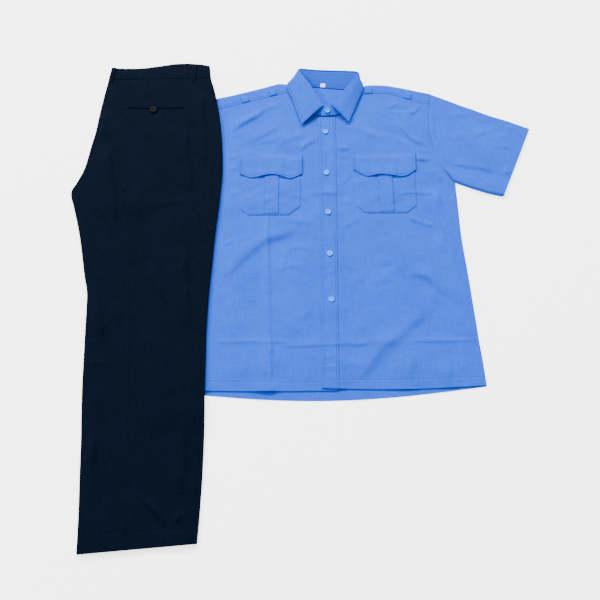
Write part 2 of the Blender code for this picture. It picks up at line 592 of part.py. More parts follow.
def build_yoke(group, blue):
    """The yoke lies on the surface, folds over at each shoulder and ends at the front seams."""
    radius = (FRONT_MID - BACK_MID) / 2
    centre_z = BACK_MID + radius
    turn = [math.radians(angle) for angle in (-90, -45, 0, 45, 90)]
    rows = []
    for column in YOKE:
        axis_y = column.shoulder_y - radius
        line = [(column.x, y, BACK_MID) for y in (YOKE_BACK_SEAM, YOKE_BACK_MIDDLE)]
        line += [(column.x, axis_y + radius * math.cos(a), centre_z + radius * math.sin(a)) for a in turn]
        half_way = (axis_y + column.front_y) / 2
        line += [(column.x, half_way, FRONT_MID), (column.x, column.front_y + GAP, FRONT_MID)]
        if column is YOKE[-1]:
            line = [(armhole_x(y), y, z) for _, y, z in line]
        if column is YOKE[0]:
            line = [(right_armhole_x(y), y, z) for _, y, z in line]
        rows.append(line)
    mesh = grid_mesh("shirt_yoke", rows)
    bm = bmesh.new()
    bm.from_mesh(mesh)
    centres = {face: face.calc_center_median() for face in bm.faces}
    neck = [face for face, centre in centres.items()
            if centre.z > BACK_MID + 1e-5 and NECK_LEFT < centre.x < NECK_RIGHT]
    bmesh.ops.delete(bm, geom=neck, context="FACES")
    bm.to_mesh(mesh)
    bm.free()
    turned_wall(group, "shirt_yoke", mesh, blue, SHIRT_WALL)


def build_sleeve(group, name, blue, mirror, loft_scale):
    """A flattened tube from armhole to cuff: front layer, fold at the top, back layer, underarm fold.

    Every ring runs through the armhole's own points, moved out along the arm, so ring 0 is the seam.
    """
    radius = (FRONT_MID - BACK_MID) / 2
    low, high = ARMHOLE[0], ARMHOLE[-1]
    shares = [(point.y - low.y) / (high.y - low.y) for point in ARMHOLE]
    bends = [point.x - (low.x + (high.x - low.x) * share) for point, share in zip(ARMHOLE, shares)]
    rows = []
    for ring in SLEEVE:
        top = Vector((ring.x_top + ARMHOLE_GAP, ring.y_top))
        under = Vector((ring.x_under + ARMHOLE_GAP, ring.y_under))
        axis = (top - under).normalized()
        spots = [under.lerp(top, share) + Vector((bend * ring.curve, 0.0))
                 for share, bend in zip(shares, bends)]
        spots[0] = spots[0] + axis * radius
        spots[-1] = spots[-1] - axis * radius
        rises = [ring.loft * loft_scale * math.sin(math.pi * share) ** 2 for share in shares]
        line = [(spot.x, spot.y, FRONT_MID + rise) for spot, rise in zip(spots, rises)]
        for angle in (45, 0, -45):
            a = math.radians(angle)
            spot = spots[-1] + axis * (radius * math.cos(a))
            line.append((spot.x, spot.y, BACK_MID + radius + radius * math.sin(a)))
        line += [(spot.x, spot.y, BACK_MID) for spot in reversed(spots)]
        for angle in (-45, 0, 45):
            a = math.radians(angle)
            spot = spots[0] - axis * (radius * math.cos(a))
            line.append((spot.x, spot.y, BACK_MID + radius + radius * math.sin(a)))
        if mirror:
            line = [(*to_right_side(x, y), z) for x, y, z in line]
        rows.append(line)
    turned_wall(group, name, grid_mesh(name, rows, wrap=True), blue, SHIRT_WALL)


def build_placket(group, left, blue):
    """The placket lies on the left front's edge, from the neck to the hem."""
    cuts = [((PLACKET_RIGHT, 0.0), (1.0, -0.004)), ((0.0, PLACKET_TOP), (0.0, 1.0))]
    lift = SHIRT_WALL / 2 + GAP + TRIM_WALL / 2
    return patch(group, "shirt_placket", left, cuts, lift, blue, TRIM_WALL)


def build_pockets(group, fronts, blue):
    """Each pocket is cut from its front's surface; its box pleat is a thicker strip down the middle."""
    lift = SHIRT_WALL / 2 + GAP + TRIM_WALL / 2
    for spec in POCKETS:
        cuts = [((spec.left, 0.0), (-1.0, 0.0)), ((spec.right, 0.0), (1.0, 0.0)),
                ((0.0, spec.top), (0.0, 1.0)), ((0.0, spec.bottom), (0.0, -1.0)),
                ((spec.left + spec.clip_left, spec.bottom), (-1.0, -1.2)),
                ((spec.right - spec.clip_right, spec.bottom), (1.0, -1.2))]
        name = "shirt_pocket_" + spec.side
        patch(group, name, fronts[spec.side], cuts, lift, blue, TRIM_WALL)
        pleat_cuts = [((spec.pleat_left, 0.0), (-1.0, 0.0)), ((spec.pleat_right, 0.0), (1.0, 0.0)),
                      ((0.0, spec.top), (0.0, 1.0)), ((0.0, spec.bottom + PLEAT_INSET), (0.0, -1.0))]
        pleat_lift = lift + TRIM_WALL + GAP
        patch(group, "shirt_pleat_" + spec.side, fronts[spec.side], pleat_cuts, pleat_lift, blue, TRIM_WALL)


def build_flaps(group, fronts, blue):
    """A flap is sewn down along its top edge, lies over the pocket's mouth and lifts at its lower edge."""
    seat = GAP + TRIM_WALL / 2
    over_pocket = seat + 2 * (TRIM_WALL + GAP) + REST_AIR
    for side, columns in FLAPS.items():
        source = fronts[side]
        rows = []
        for column in columns:
            line = []
            for share in (0.0, 0.12, 0.30, 0.52, 0.76, 1.0):
                y = column.top + (column.bottom - column.top) * share
                rest = top_height([source], column.x, y)
                climb = seat + (over_pocket - seat) * smoothstep(share / 0.30)
                line.append((column.x, y, rest + climb + FLAP_LIFT * column.lift * share ** 2))
            rows.append(line)
        mesh = face_up(grid_mesh("shirt_flap_" + side, rows))
        add_wall(group, "shirt_flap_" + side, mesh, blue, TRIM_WALL)


def turned_button(name, radius, height):
    """A turned disc with a rounded raised rim and a dished middle, made by spinning its half profile."""
    profile = [(0.0, 0.0), (radius * 0.86, 0.0), (radius, height * 0.35), (radius, height * 0.65),
               (radius * 0.88, height), (radius * 0.70, height), (radius * 0.58, height - BUTTON_RIM),
               (0.0, height - BUTTON_RIM)]
    bm = bmesh.new()
    verts = [bm.verts.new((x, 0.0, z)) for x, z in profile]
    edges = [bm.edges.new(pair) for pair in zip(verts, verts[1:])]
    bmesh.ops.spin(bm, geom=verts + edges, cent=(0, 0, 0), axis=(0, 0, 1), angle=2 * math.pi,
                   steps=BUTTON_STEPS)
    bmesh.ops.remove_doubles(bm, verts=bm.verts[:], dist=1e-6)
    bmesh.ops.recalc_face_normals(bm, faces=bm.faces[:])
    mesh = bpy.data.meshes.new(name)
    bm.to_mesh(mesh)
    bm.free()
    return mesh


def seat_button(group, name, mesh, material, pieces, x, y, radius):
    """Lay a button flat on the highest point of what is under it."""
    ring = [(x + radius * math.cos(a), y + radius * math.sin(a)) for a in np.linspace(0, 2 * math.pi, 9)]
    top = max(top_height(pieces, *spot) for spot in ring + [(x, y)])
    obj = add_object(group, name, mesh, material)
    obj.location = (x, y, top + GAP)
    return obj


def build_buttons(group, placket, material):
    """Five buttons down the placket."""
    for number, (x, y) in enumerate(FRONT_BUTTONS, start=1):
        name = "shirt_button_%d" % number
        mesh = turned_button(name, BUTTON_RADIUS, BUTTON_HEIGHT)
        seat_button(group, name, mesh, material, [placket], x, y, BUTTON_RADIUS)


def build_loops(group, blue):
    """Shoulder loops lie on the yoke's front strip, between the shoulder fold and the front seam."""
    z = FRONT_MID + SHIRT_WALL / 2 + GAP + TRIM_WALL / 2
    for spec in SHOULDER_LOOPS:
        turn = math.radians(spec.turn)
        rows = []
        for v in (-0.5, -0.2, 0.2, 0.5):
            row = []
            for u in (-0.5, -0.4, 0.4, 0.5):
                dx = u * LOOP_WIDTH
                dy = v * LOOP_LENGTH
                bulge = LOOP_BULGE if abs(v) < 0.4 and abs(u) < 0.45 else 0.0
                row.append((spec.x + dx * math.cos(turn) - dy * math.sin(turn),
                            spec.y + dx * math.sin(turn) + dy * math.cos(turn), z + bulge))
            rows.append(row)
        name = "shoulder_loop_" + spec.name
        add_wall(group, name, face_up(grid_mesh(name, rows)), blue, TRIM_WALL)


def smooth_stations(table, steps):
    """Read a table of stations along a smooth curve, steps points between two rows (Catmull-Rom)."""
    values = np.array(table, dtype=float)
    rows = []
    last = len(values) - 1
    for i in range(last):
        p0 = values[max(i - 1, 0)]
        p1 = values[i]
        p2 = values[i + 1]
        p3 = values[min(i + 2, last)]
        for k in range(steps):
            t = k / steps
            rows.append(0.5 * (2 * p1 + (p2 - p0) * t + (2 * p0 - 5 * p1 + 4 * p2 - p3) * t ** 2
                               + (3 * p1 - p0 - 3 * p2 + p3) * t ** 3))
    rows.append(values[last])
    return rows


def stand_line(seam, top):
    """The stand's cross-section from the seam up to its top edge, a little crowned."""
    crown = Vector((0.0, 0.0, STAND_CROWN))
    return [seam, seam.lerp(top, 0.35) + crown * 0.7, seam.lerp(top, 0.70) + crown * 0.8, top]


def build_collar(group, blue, button_blue):
    """The stand rises from the neck seam to the fold, and the fall turns over it and lies outside it."""
    stand_rows = []
    fall_rows = []
    for row in smooth_stations(COLLAR, 2):
        station = Station(*row)
        seam = Vector((station.seam_x, station.seam_y, station.seam_z))
        fold = Vector((station.fold_x, station.fold_y, station.fold_z))
        edge = Vector((station.edge_x, station.edge_y, station.edge_z))
        top = fold + (seam - fold).normalized() * STAND_TUCK
        top.z = fold.z - STAND_TUCK
        stand_rows.append(stand_line(seam, top))
        back = min(1.0, max(0.0, station.back))
        line = [fold]
        for point in FALL_POINTS:
            front_point = fold.lerp(edge, point.share) + Vector((0.0, 0.0, point.rise))
            back_point = Vector((fold.x, fold.y + point.back_y, fold.z + point.back_z))
            if point.back_z < FALL_FOOT_DROP:
                back_point.z = FALL_FOOT_Z
            line.append(front_point.lerp(back_point, back))
        fall_rows.append(line + [edge])
    under = [stand_line(Vector(end[:3]), Vector(end[3:])) for end in STAND_UNDER]
    over = [stand_line(Vector(end[:3]), Vector(end[3:])) for end in STAND_OVER]
    stand_mesh = grid_mesh("collar_stand", under + stand_rows + over)
    stand = turned_wall(group, "collar_stand", stand_mesh, blue, SHIRT_WALL)
    turned_wall(group, "collar_fall", grid_mesh("collar_fall", fall_rows), blue, SHIRT_WALL)
    seam, top = Vector(STAND_OVER[0][:3]), Vector(STAND_OVER[0][3:])
    slope = math.atan2(top.z - seam.z, top.y - seam.y)
    mesh = turned_button("collar_button", STAND_BUTTON_RADIUS, BUTTON_HEIGHT)
    button = add_object(group, "collar_button", mesh, button_blue)
    spot = seam.lerp(top, 0.46)
    out = Vector((0.0, -math.sin(slope), math.cos(slope)))
    button.location = spot + out * (SHIRT_WALL / 2 + GAP + STAND_CROWN)
    button.location.x = NECK_BUTTON_X
    button.rotation_euler = (slope, 0.0, 0.0)
    return stand


def build_label(group, stand, white):
    """The bare size label lies on the stand's inside, at the back of the neck seam."""
    rows = []
    for v in (0.0, 0.5, 1.0):
        y = LABEL_FOOT[1] + LABEL_SIZE[1] * v
        xs = [LABEL_FOOT[0] + LABEL_SIZE[0] * (u - 0.5) for u in (0.0, 0.5, 1.0)]
        z = max(top_height([stand], x, y) for x in xs) + GAP + TRIM_WALL / 2 + REST_AIR / 2
        rows.append([(x, y, z) for x in xs])
    add_wall(group, "shirt_size_label", face_up(grid_mesh("shirt_size_label", rows)), white, TRIM_WALL)


def trouser_base(x, y):
    """How far the trousers climb where the shirt's body and sleeve lie under them, eased on all sides."""
    below_waist = smoothstep((RISE_TOP_Y - y) / 0.060)
    body = smoothstep((x - RISE_BODY_X) / RISE_RUN) * smoothstep((y - RISE_BODY_Y) / RISE_END_RUN)
    arm = smoothstep((x - RISE_ARM_X) / RISE_RUN) * smoothstep((y - RISE_ARM_Y) / RISE_END_RUN)
    return SHIRT_RISE * max(body, arm) * below_waist


def hem_lift(x, y):
    """The top leg's hem stands off the lower leg at its outer corner."""
    across = smoothstep((x - HEM_LIFT_X) / HEM_LIFT_RUN_X)
    return HEM_LIFT * across * smoothstep((HEM_LIFT_Y - y) / HEM_LIFT_RUN_Y)


def trouser_top(x, y, share):
    """Height of the hidden layers' top: level in the middle, lower at both edges, with the folds."""
    crown = smoothstep(min(share, 1.0 - share) / CROWN_SHARE)
    level = HIDDEN_EDGE + (HIDDEN_TOP - HIDDEN_EDGE) * crown
    return trouser_base(x, y) + level + crown * fold_height(TROUSER_FOLDS, x, y)


def leg_shares(section):
    """Column shares across a leg, with one on the side seam and one just past it."""
    width = section.x_right - section.x_left
    seam = 1.0 - section.seam_inset / width
    return [seam * i / LEG_COLUMNS for i in range(LEG_COLUMNS + 1)] + [1.0]


def leg_point(section, share):
    """Point on a leg section at a share of its width."""
    x = section.x_left + (section.x_right - section.x_left) * share
    y = section.y_left + (section.y_right - section.y_left) * share
    return x, y


def waist_wave(share):
    """The waist edge's slow wave along the body, in metres."""
    return WAIST_WAVE[0] * math.sin(math.pi * share) + WAIST_WAVE[1] * math.sin(2 * math.pi * share)


def hidden_grid():
    """Rows of (x, y, share) for the whole stack, from the waist's top edge to the hem."""
    rows = []
    for number, section in enumerate([WAIST_SECTION] + TROUSERS):
        row = []
        for share in leg_shares(section):
            x, y = leg_point(section, share)
            if number == 0:
                y += waist_wave(share)
            row.append((x, y, share))
        rows.append(row)
    return rows


def build_hidden_layers(group, navy):
    """One solid for the layers that are out of sight, flat below, with the edges of three layers."""
    rows = hidden_grid()
    height = len(rows)
    width = len(rows[0])
    loop = [(0, c) for c in range(width)]
    loop += [(r, width - 1) for r in range(1, height)]
    loop += [(height - 1, c) for c in range(width - 2, -1, -1)]
    loop += [(r, 0) for r in range(height - 2, 0, -1)]
    outline = [Vector(rows[r][c][:2]) for r, c in loop]
    count = len(outline)
    normals = []
    for i in range(count):
        tangent = (outline[(i + 1) % count] - outline[i - 1]).normalized()
        normals.append(Vector((-tangent.y, tangent.x)))
    middle = sum(outline, Vector((0.0, 0.0))) / count
    if (middle - outline[0]).dot(normals[0]) < 0:
        normals = [-n for n in normals]
    bm = bmesh.new()
    top = {}
    bottom = {}
    for r in range(height):
        for c in range(width):
            x, y, share = rows[r][c]
            if (r, c) in loop:
                inward = normals[loop.index((r, c))] * EDGE_PROFILE[-1][1]
                x, y = x + inward.x, y + inward.y
            top[r, c] = bm.verts.new((x, y, trouser_top(x, y, share)))
            if (r, c) not in loop:
                bottom[r, c] = bm.verts.new((x, y, trouser_base(x, y)))
    rings = []
    for share, inset in EDGE_PROFILE[:-1]:
        ring = []
        for i in range(count):
            spot = outline[i] + normals[i] * inset
            base = trouser_base(spot.x, spot.y)
            ring.append(bm.verts.new((spot.x, spot.y, base + HIDDEN_EDGE * share)))
        rings.append(ring)
    for i, key in enumerate(loop):
        bottom[key] = rings[0][i]
    rings.append([top[key] for key in loop])
    for r in range(height - 1):
        for c in range(width - 1):
            corners = [(r, c), (r, c + 1), (r + 1, c + 1), (r + 1, c)]
            bm.faces.new([top[k] for k in corners])
            bm.faces.new([bottom[k] for k in reversed(corners)])
    for low, high in zip(rings, rings[1:]):
        for i in range(count):
            j = (i + 1) % count
            bm.faces.new([low[i], low[j], high[j], high[i]])
    bmesh.ops.triangulate(bm, faces=bm.faces[:])
    bmesh.ops.recalc_face_normals(bm, faces=bm.faces[:])
    mesh = bpy.data.meshes.new("trousers_hidden_layers")
    bm.to_mesh(mesh)
    bm.free()
    return add_object(group, "trousers_hidden_layers", mesh, navy)


def build_leg_panels(group, navy):
    """The right back panel, and the right front's strip past the side seam, both on the stack."""
    lift = GAP + TROUSER_WALL / 2
    rows = hidden_grid()[1:]
    panel_rows = []
    strip_rows = []
    for row in rows:
        line = []
        for x, y, share in row[:-1]:
            line.append((x, y, trouser_top(x, y, share) + lift + hem_lift(x, y)))
        line[0] = (line[0][0] + EDGE_TUCK, line[0][1], line[0][2])
        panel_rows.append(line)
        seam_x, seam_y, seam_share = row[-2]
        edge_x, edge_y, edge_share = row[-1]
        start = seam_x + GAP
        z = trouser_top(seam_x, seam_y, seam_share) + lift + hem_lift(seam_x, seam_y)
        z_edge = trouser_top(edge_x, edge_y, edge_share) + lift + hem_lift(edge_x, edge_y)
        strip_rows.append([(start, seam_y, z),
                           ((start + edge_x) / 2, (seam_y + edge_y) / 2, (z + z_edge) / 2),
                           (edge_x - EDGE_TUCK, edge_y, z_edge)])
    back = face_up(grid_mesh("trousers_right_back", panel_rows))
    strip = face_up(grid_mesh("trousers_right_front", strip_rows))
    add_wall(group, "trousers_right_front", strip, navy, TROUSER_WALL)
    return add_wall(group, "trousers_right_back", back, navy, TROUSER_WALL)


def build_waistband(group, navy):
    """The waistband's outer half, from the waist seam up to the wavy top edge."""
    rows = hidden_grid()
    top_row = rows[0]
    seam_row = rows[1]
    lines = []
    for share_v in (0.0, 0.06, 0.5, 0.94, 1.0):
        line = []
        for (xs, ys, share), (xt, yt, _) in zip(seam_row, top_row):
            x = xs + (xt - xs) * share_v
            y = (ys + GAP) + (yt - ys - GAP) * share_v
            rest = trouser_top(xs, ys, share) * (1 - share_v) + trouser_top(xt, yt, share) * share_v
            crown = BAND_CROWN if 0.0 < share_v < 1.0 else 0.0
            line.append((x, y, rest + GAP + TROUSER_WALL / 2 + crown))
        line[0] = (line[0][0] + EDGE_TUCK, line[0][1], line[0][2])
        line[-1] = (line[-1][0] - EDGE_TUCK, line[-1][1], line[-1][2])
        lines.append(line)
    mesh = face_up(grid_mesh("trousers_waistband", lines))
    return add_wall(group, "trousers_waistband", mesh, navy, TROUSER_WALL)


def build_welts(group, leg_panel, navy, navy_button):
    """The back pocket's two welts and its button, on the leg panel."""
    lift = TROUSER_WALL / 2 + GAP + TRIM_WALL / 2
    left, right = WELT_CENTRE[0] - WELT_LENGTH / 2, WELT_CENTRE[0] + WELT_LENGTH / 2
    for name, low in (("upper", WELT_CENTRE[1] + GAP / 2), ("lower", WELT_CENTRE[1] - GAP / 2 - WELT_HEIGHT)):
        cuts = [((left, 0.0), (-1.0, 0.0)), ((right, 0.0), (1.0, 0.0)),
                ((0.0, low + WELT_HEIGHT), (0.0, 1.0)), ((0.0, low), (0.0, -1.0))]
        patch(group, "back_pocket_welt_" + name, leg_panel, cuts, lift, navy, TRIM_WALL)
    settle()
    welt = bpy.data.objects["back_pocket_welt_lower"]
    mesh = turned_button("back_pocket_button", POCKET_BUTTON_RADIUS, BUTTON_HEIGHT)
    x, y = POCKET_BUTTON
    seat_button(group, "back_pocket_button", mesh, navy_button, [leg_panel, welt], x, y, POCKET_BUTTON_RADIUS)


def build_belt_loops(group, pieces, navy):
    """Each loop is a strip from below the waist seam to the band's top, standing off it in the middle."""
    for spec in BELT_LOOPS:
        foot = Vector((spec.foot_x, spec.foot_y))
        head = Vector((spec.head_x, spec.head_y))
        across = Vector(((head - foot).y, -(head - foot).x)).normalized()
        rows = []
        for share in (0.0, 0.12, 0.30, 0.50, 0.70, 0.88, 1.0):
            spot_on_line = foot.lerp(head, share)
            spots = [spot_on_line + across * (BELT_LOOP_WIDTH * u) for u in (-0.5, -0.25, 0.0, 0.25, 0.5)]
            rest = max(top_height(pieces, spot.x, spot.y) for spot in spots)
            z = rest + GAP + TRIM_WALL / 2 + BELT_LOOP_BULGE * math.sin(math.pi * share) + REST_AIR
            rows.append([(spot.x, spot.y, z) for spot in spots])
        name = "belt_loop_" + spec.name
        add_wall(group, name, face_up(grid_mesh(name, rows)), navy, TRIM_WALL)


def main():
    """Build the shirt, then the trousers that lie over its edge."""
    group = clear_scene()
    blue = make_material("shirt_poplin", SHIRT_BLUE, 0.85)
    button_blue = make_material("button_resin", BUTTON_BLUE, 0.35)
    navy = make_material("trouser_twill", NAVY, 0.80)
    navy_button = make_material("button_horn", NAVY_BUTTON, 0.40)
    white = make_material("label_tape", LABEL_WHITE, 0.70)
    left, right = build_body(group, blue)
    fronts = {"left": left, "right": right}
    build_sleeve(group, "shirt_sleeve_left", blue, mirror=False, loft_scale=1.0)
    build_sleeve(group, "shirt_sleeve_right", blue, mirror=True, loft_scale=0.0)
    placket = build_placket(group, left, blue)
    build_pockets(group, fronts, blue)
    settle()
    build_flaps(group, fronts, blue)
    build_buttons(group, placket, button_blue)
    build_loops(group, blue)
    stand = build_collar(group, blue, button_blue)
    settle()
    build_label(group, stand, white)
    build_hidden_layers(group, navy)
    leg_panel = build_leg_panels(group, navy)
    waistband = build_waistband(group, navy)
    settle()
    build_welts(group, leg_panel, navy, navy_button)
    build_belt_loops(group, [leg_panel, waistband], navy)


main()
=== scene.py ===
# %% [markdown]
# A uniform laid flat: a short-sleeved shirt on its back, and trousers folded leg on leg beside it.
# The CAD model holds every sewn piece as a stiff wall. Here each of those walls is dressed in cloth
# that lies on the same height formulas, with creases, seams, stitches and a weave. We load the CAD
# model first, and a few pieces later read their place from its parts' boxes.

# %% The imported model
from collections import namedtuple

import bpy
import numpy as np
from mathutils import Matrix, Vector


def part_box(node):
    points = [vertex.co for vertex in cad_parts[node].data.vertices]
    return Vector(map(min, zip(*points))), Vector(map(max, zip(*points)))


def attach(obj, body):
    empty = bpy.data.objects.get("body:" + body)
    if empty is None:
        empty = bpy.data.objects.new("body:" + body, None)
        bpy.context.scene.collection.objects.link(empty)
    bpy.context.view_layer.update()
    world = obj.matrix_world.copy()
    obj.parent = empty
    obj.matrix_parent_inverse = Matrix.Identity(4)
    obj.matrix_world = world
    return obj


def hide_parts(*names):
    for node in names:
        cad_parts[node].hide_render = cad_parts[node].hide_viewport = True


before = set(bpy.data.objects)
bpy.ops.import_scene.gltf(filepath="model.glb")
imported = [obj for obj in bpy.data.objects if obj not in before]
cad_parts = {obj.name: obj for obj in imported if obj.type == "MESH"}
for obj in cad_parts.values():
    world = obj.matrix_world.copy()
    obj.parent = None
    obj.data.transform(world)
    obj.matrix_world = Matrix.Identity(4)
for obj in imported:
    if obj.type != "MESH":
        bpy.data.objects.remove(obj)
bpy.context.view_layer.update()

MM = 0.001

# %% [markdown]
# The camera stands where the photographer stood, about 1.6 m away and 70 degrees above the floor.
# It comes first, so that every later look is a fair one. A 45 mm lens on a 36 mm sensor gives the
# photo's mild perspective.

# %% Camera
CAMERA_PLACE = (-0.010, -0.586, 1.485)
CAMERA_AIM = (-0.010, -0.0455, 0.0)
camera_data = bpy.data.cameras.new("photo_view")
camera_data.sensor_width = 36.0
camera_data.lens = 45.03
camera = bpy.data.objects.new("photo_view", camera_data)
bpy.context.scene.collection.objects.link(camera)
camera.location = CAMERA_PLACE
camera.rotation_euler = (Vector(CAMERA_AIM) - camera.location).to_track_quat("-Z", "Y").to_euler()
bpy.context.scene.camera = camera
print("camera distance, m:", round((Vector(CAMERA_AIM) - camera.location).length, 3))

# %% [markdown]
# Materials come from the real cloth. The shirt is a poly-cotton poplin: plain weave of fine yarn,
# matt, with a faint bloom of fibre ends at grazing angles. The trousers are a poly-wool twill whose
# fine diagonal ribs hold the light a little, so the navy is never quite black. A weave follows the
# cloth, so both read the piece's own UV map, which is laid out in metres along the threads.

# %% Colour and nodes
def linear(hex_colour):
    """Turn an sRGB hex colour to linear light: each channel raised to 2.4 after its offset."""
    channels = np.array([int(hex_colour[i:i + 2], 16) for i in (1, 3, 5)]) / 255
    low = channels / 12.92
    high = ((channels + 0.055) / 1.055) ** 2.4
    return (*np.where(channels <= 0.04045, low, high).tolist(), 1.0)


def node(tree, kind, sockets=None, **settings):
    """Add one node, set its properties, then fill its sockets with values or links."""
    made = tree.nodes.new(kind)
    for key, value in settings.items():
        setattr(made, key, value)
    for key, value in (sockets or {}).items():
        if isinstance(value, bpy.types.NodeSocket):
            tree.links.new(value, made.inputs[key])
        else:
            made.inputs[key].default_value = value
    return made


def start_material(name, **values):
    """A new material with its shader's uniform values set on the shader's own sockets."""
    material = bpy.data.materials.new(name)
    material.use_nodes = True
    shader = material.node_tree.nodes["Principled BSDF"]
    for key, value in values.items():
        shader.inputs[key.replace("_", " ")].default_value = value
    return material, material.node_tree, shader


def two_tone(tree, shader, share, *stops):
    """Colour the shader by a share from 0 to 1. Each stop is a share and its hex colour."""
    ramp = node(tree, "ShaderNodeValToRGB", {"Fac": share})
    for element, (position, colour) in zip(ramp.color_ramp.elements, stops):
        element.position, element.color = position, linear(colour)
    tree.links.new(ramp.outputs["Color"], shader.inputs["Base Color"])


# %% [markdown]
# A woven cloth needs three things: the threads, slubs where a yarn is thicker for a short way, and
# slow blotches where the cloth was pressed or handled. Two crossed wave patterns make a plain weave,
# and one wave turned by 63 degrees makes the twill's ribs. Real threads are 0.2 mm apart, too fine
# for the render, so they are drawn 0.6 mm apart for poplin and 0.9 mm for twill. An image of cloth
# would give this too, but it would blur up close and tile, and a formula does neither.

# %% Cloth materials
WAVE_PER_METRE = 20 / (2 * np.pi)  # a wave texture of scale 1 has this many bands per unit
SLUB_WIDE, SLUB_LONG = 520.0, 34.0  # a thick place in a yarn: about 2 mm wide and 30 mm long


def weave(name, dark, light, pitches, turns, depth, blotch, **values):
    """Cloth from one or two thread waves, each with a pitch in metres and a turn in radians."""
    material, tree, shader = start_material(name, **values)
    threads_uv = node(tree, "ShaderNodeUVMap", uv_map="threads").outputs["UV"]
    waves = []
    for pitch, turn in zip(pitches, turns):
        turned = node(tree, "ShaderNodeMapping", {"Vector": threads_uv, "Rotation": (0, 0, turn)})
        scale = 1 / pitch / WAVE_PER_METRE
        wave = node(tree, "ShaderNodeTexWave", {"Vector": turned.outputs[0], "Scale": scale,
                                                "Distortion": 0.6, "Detail": 1.0})
        waves.append(wave.outputs["Fac"])
    height = waves[0]
    if len(waves) == 2:
        height = node(tree, "ShaderNodeMath", {0: waves[0], 1: waves[1]}, operation="MAXIMUM").outputs[0]
    slubs = []
    for stretch in ((SLUB_WIDE, SLUB_LONG, 1.0), (SLUB_LONG, SLUB_WIDE, 1.0)):
        drawn = node(tree, "ShaderNodeMapping", {"Vector": threads_uv, "Scale": stretch})
        slubs.append(node(tree, "ShaderNodeTexNoise", {"Vector": drawn.outputs[0], "Scale": 1.0,
                                                       "Detail": 2.0}))
    slub = node(tree, "ShaderNodeMix", {0: 0.5, 2: slubs[0].outputs["Fac"], 3: slubs[1].outputs["Fac"]},
                data_type="FLOAT")
    slow = node(tree, "ShaderNodeTexNoise", {"Vector": threads_uv, "Scale": 14.0, "Detail": 4.0})
    fine = node(tree, "ShaderNodeMix", {0: 0.35, 2: slub.outputs[0], 3: height}, data_type="FLOAT")
    shade = node(tree, "ShaderNodeMix", {0: blotch, 2: fine.outputs[0], 3: slow.outputs["Fac"]},
                 data_type="FLOAT")
    bump = node(tree, "ShaderNodeBump", {"Height": fine.outputs[0], "Strength": 0.55, "Distance": depth})
    two_tone(tree, shader, shade.outputs[0], (0.30, dark), (0.72, light))
    tree.links.new(bump.outputs["Normal"], shader.inputs["Normal"])
    return material


# Poly-cotton poplin, piece-dyed and pressed: matt, even, a pale bloom where it turns away
poplin = weave("poly_cotton_poplin", "#08379C", "#1553D2", (0.6 * MM, 0.6 * MM), (0.0, np.pi / 2),
               0.12 * MM, 0.2, Roughness=0.86, Specular_IOR_Level=0.12, Sheen_Weight=0.06,
               Sheen_Roughness=0.5, Sheen_Tint=linear("#5C8BE6"))
# Poly-wool twill, calendered: deep navy, ribs that catch a low gloss
twill = weave("poly_wool_twill", "#02040A", "#061020", (0.9 * MM,), (1.1,), 0.18 * MM, 0.08,
              Roughness=0.72, Specular_IOR_Level=0.01, Sheen_Weight=0.01, Sheen_Roughness=0.35,
              Sheen_Tint=linear("#1E3A62"))
# Woven polyester tape, heat-cut: smooth, nearly white
tape = weave("satin_label_tape", "#DDEBFF", "#F4F9FF", (0.5 * MM,), (0.0,), 0.05 * MM, 0.3,
             Roughness=0.55)
print("cloth materials:", poplin.name, twill.name, tape.name)

# %% [markdown]
# Thread is spun polyester, a little glossier than the cloth. The shirt's main thread is drawn darker than
# the cloth: painted shade for the grooves its stitches sit in and the edges beside them. Shirt buttons are
# cast polyester resin, tumbled to a satin shine, pale blue with a slight cloud in it. The trouser button is
# the same resin cast dark to look like horn, with streaks. Neither needs a weave, so Object coordinates will
# do.

# %% Thread and button materials
def clouded(name, dark, light, scale, stretch=(1, 1, 1), **values):
    """One colour that drifts to another through a stretched noise on Object coordinates."""
    material, tree, shader = start_material(name, **values)
    place = node(tree, "ShaderNodeTexCoord").outputs["Object"]
    drawn = node(tree, "ShaderNodeMapping", {"Vector": place, "Scale": stretch})
    noise = node(tree, "ShaderNodeTexNoise", {"Vector": drawn.outputs[0], "Scale": scale, "Detail": 4.0})
    two_tone(tree, shader, noise.outputs["Fac"], (0.32, dark), (0.70, light))
    return material


THREAD = {"scale": 900, "Roughness": 0.7, "Specular_IOR_Level": 0.1}
# Painted shade: this thread is darker than the cloth, so its stitch lines read as shaded grooves and edges
blue_thread_painted_shade = clouded("spun_polyester_blue_painted_shade", "#0B2E80", "#184AAE", **THREAD)
hem_thread = clouded("spun_polyester_mid_blue", "#1E52BC", "#3A70D8", **THREAD)
pale_thread = clouded("spun_polyester_pale", "#2F6FDC", "#5694F0", **THREAD)
navy_thread = clouded("spun_polyester_navy", "#060F1C", "#0D1C30", **{**THREAD, "Roughness": 0.6})
blue_resin = clouded("cast_resin_blue", "#1E74EC", "#45A4FF", 160, Roughness=0.32, IOR=1.5,
                     Specular_IOR_Level=0.35)
horn_resin = clouded("cast_resin_horn", "#020406", "#0B0D10", 120, (1, 4, 1), Roughness=0.5, IOR=1.5,
                     Specular_IOR_Level=0.04)

# %% [markdown]
# All cloth is a grid of points, worked out with numpy as whole arrays, and each cell of the grid is
# one face. Lines of points lie closer together at edges and along seams, where the surface turns
# within a millimetre, and wider apart over the plain cloth. A Solidify modifier then gives the wall.

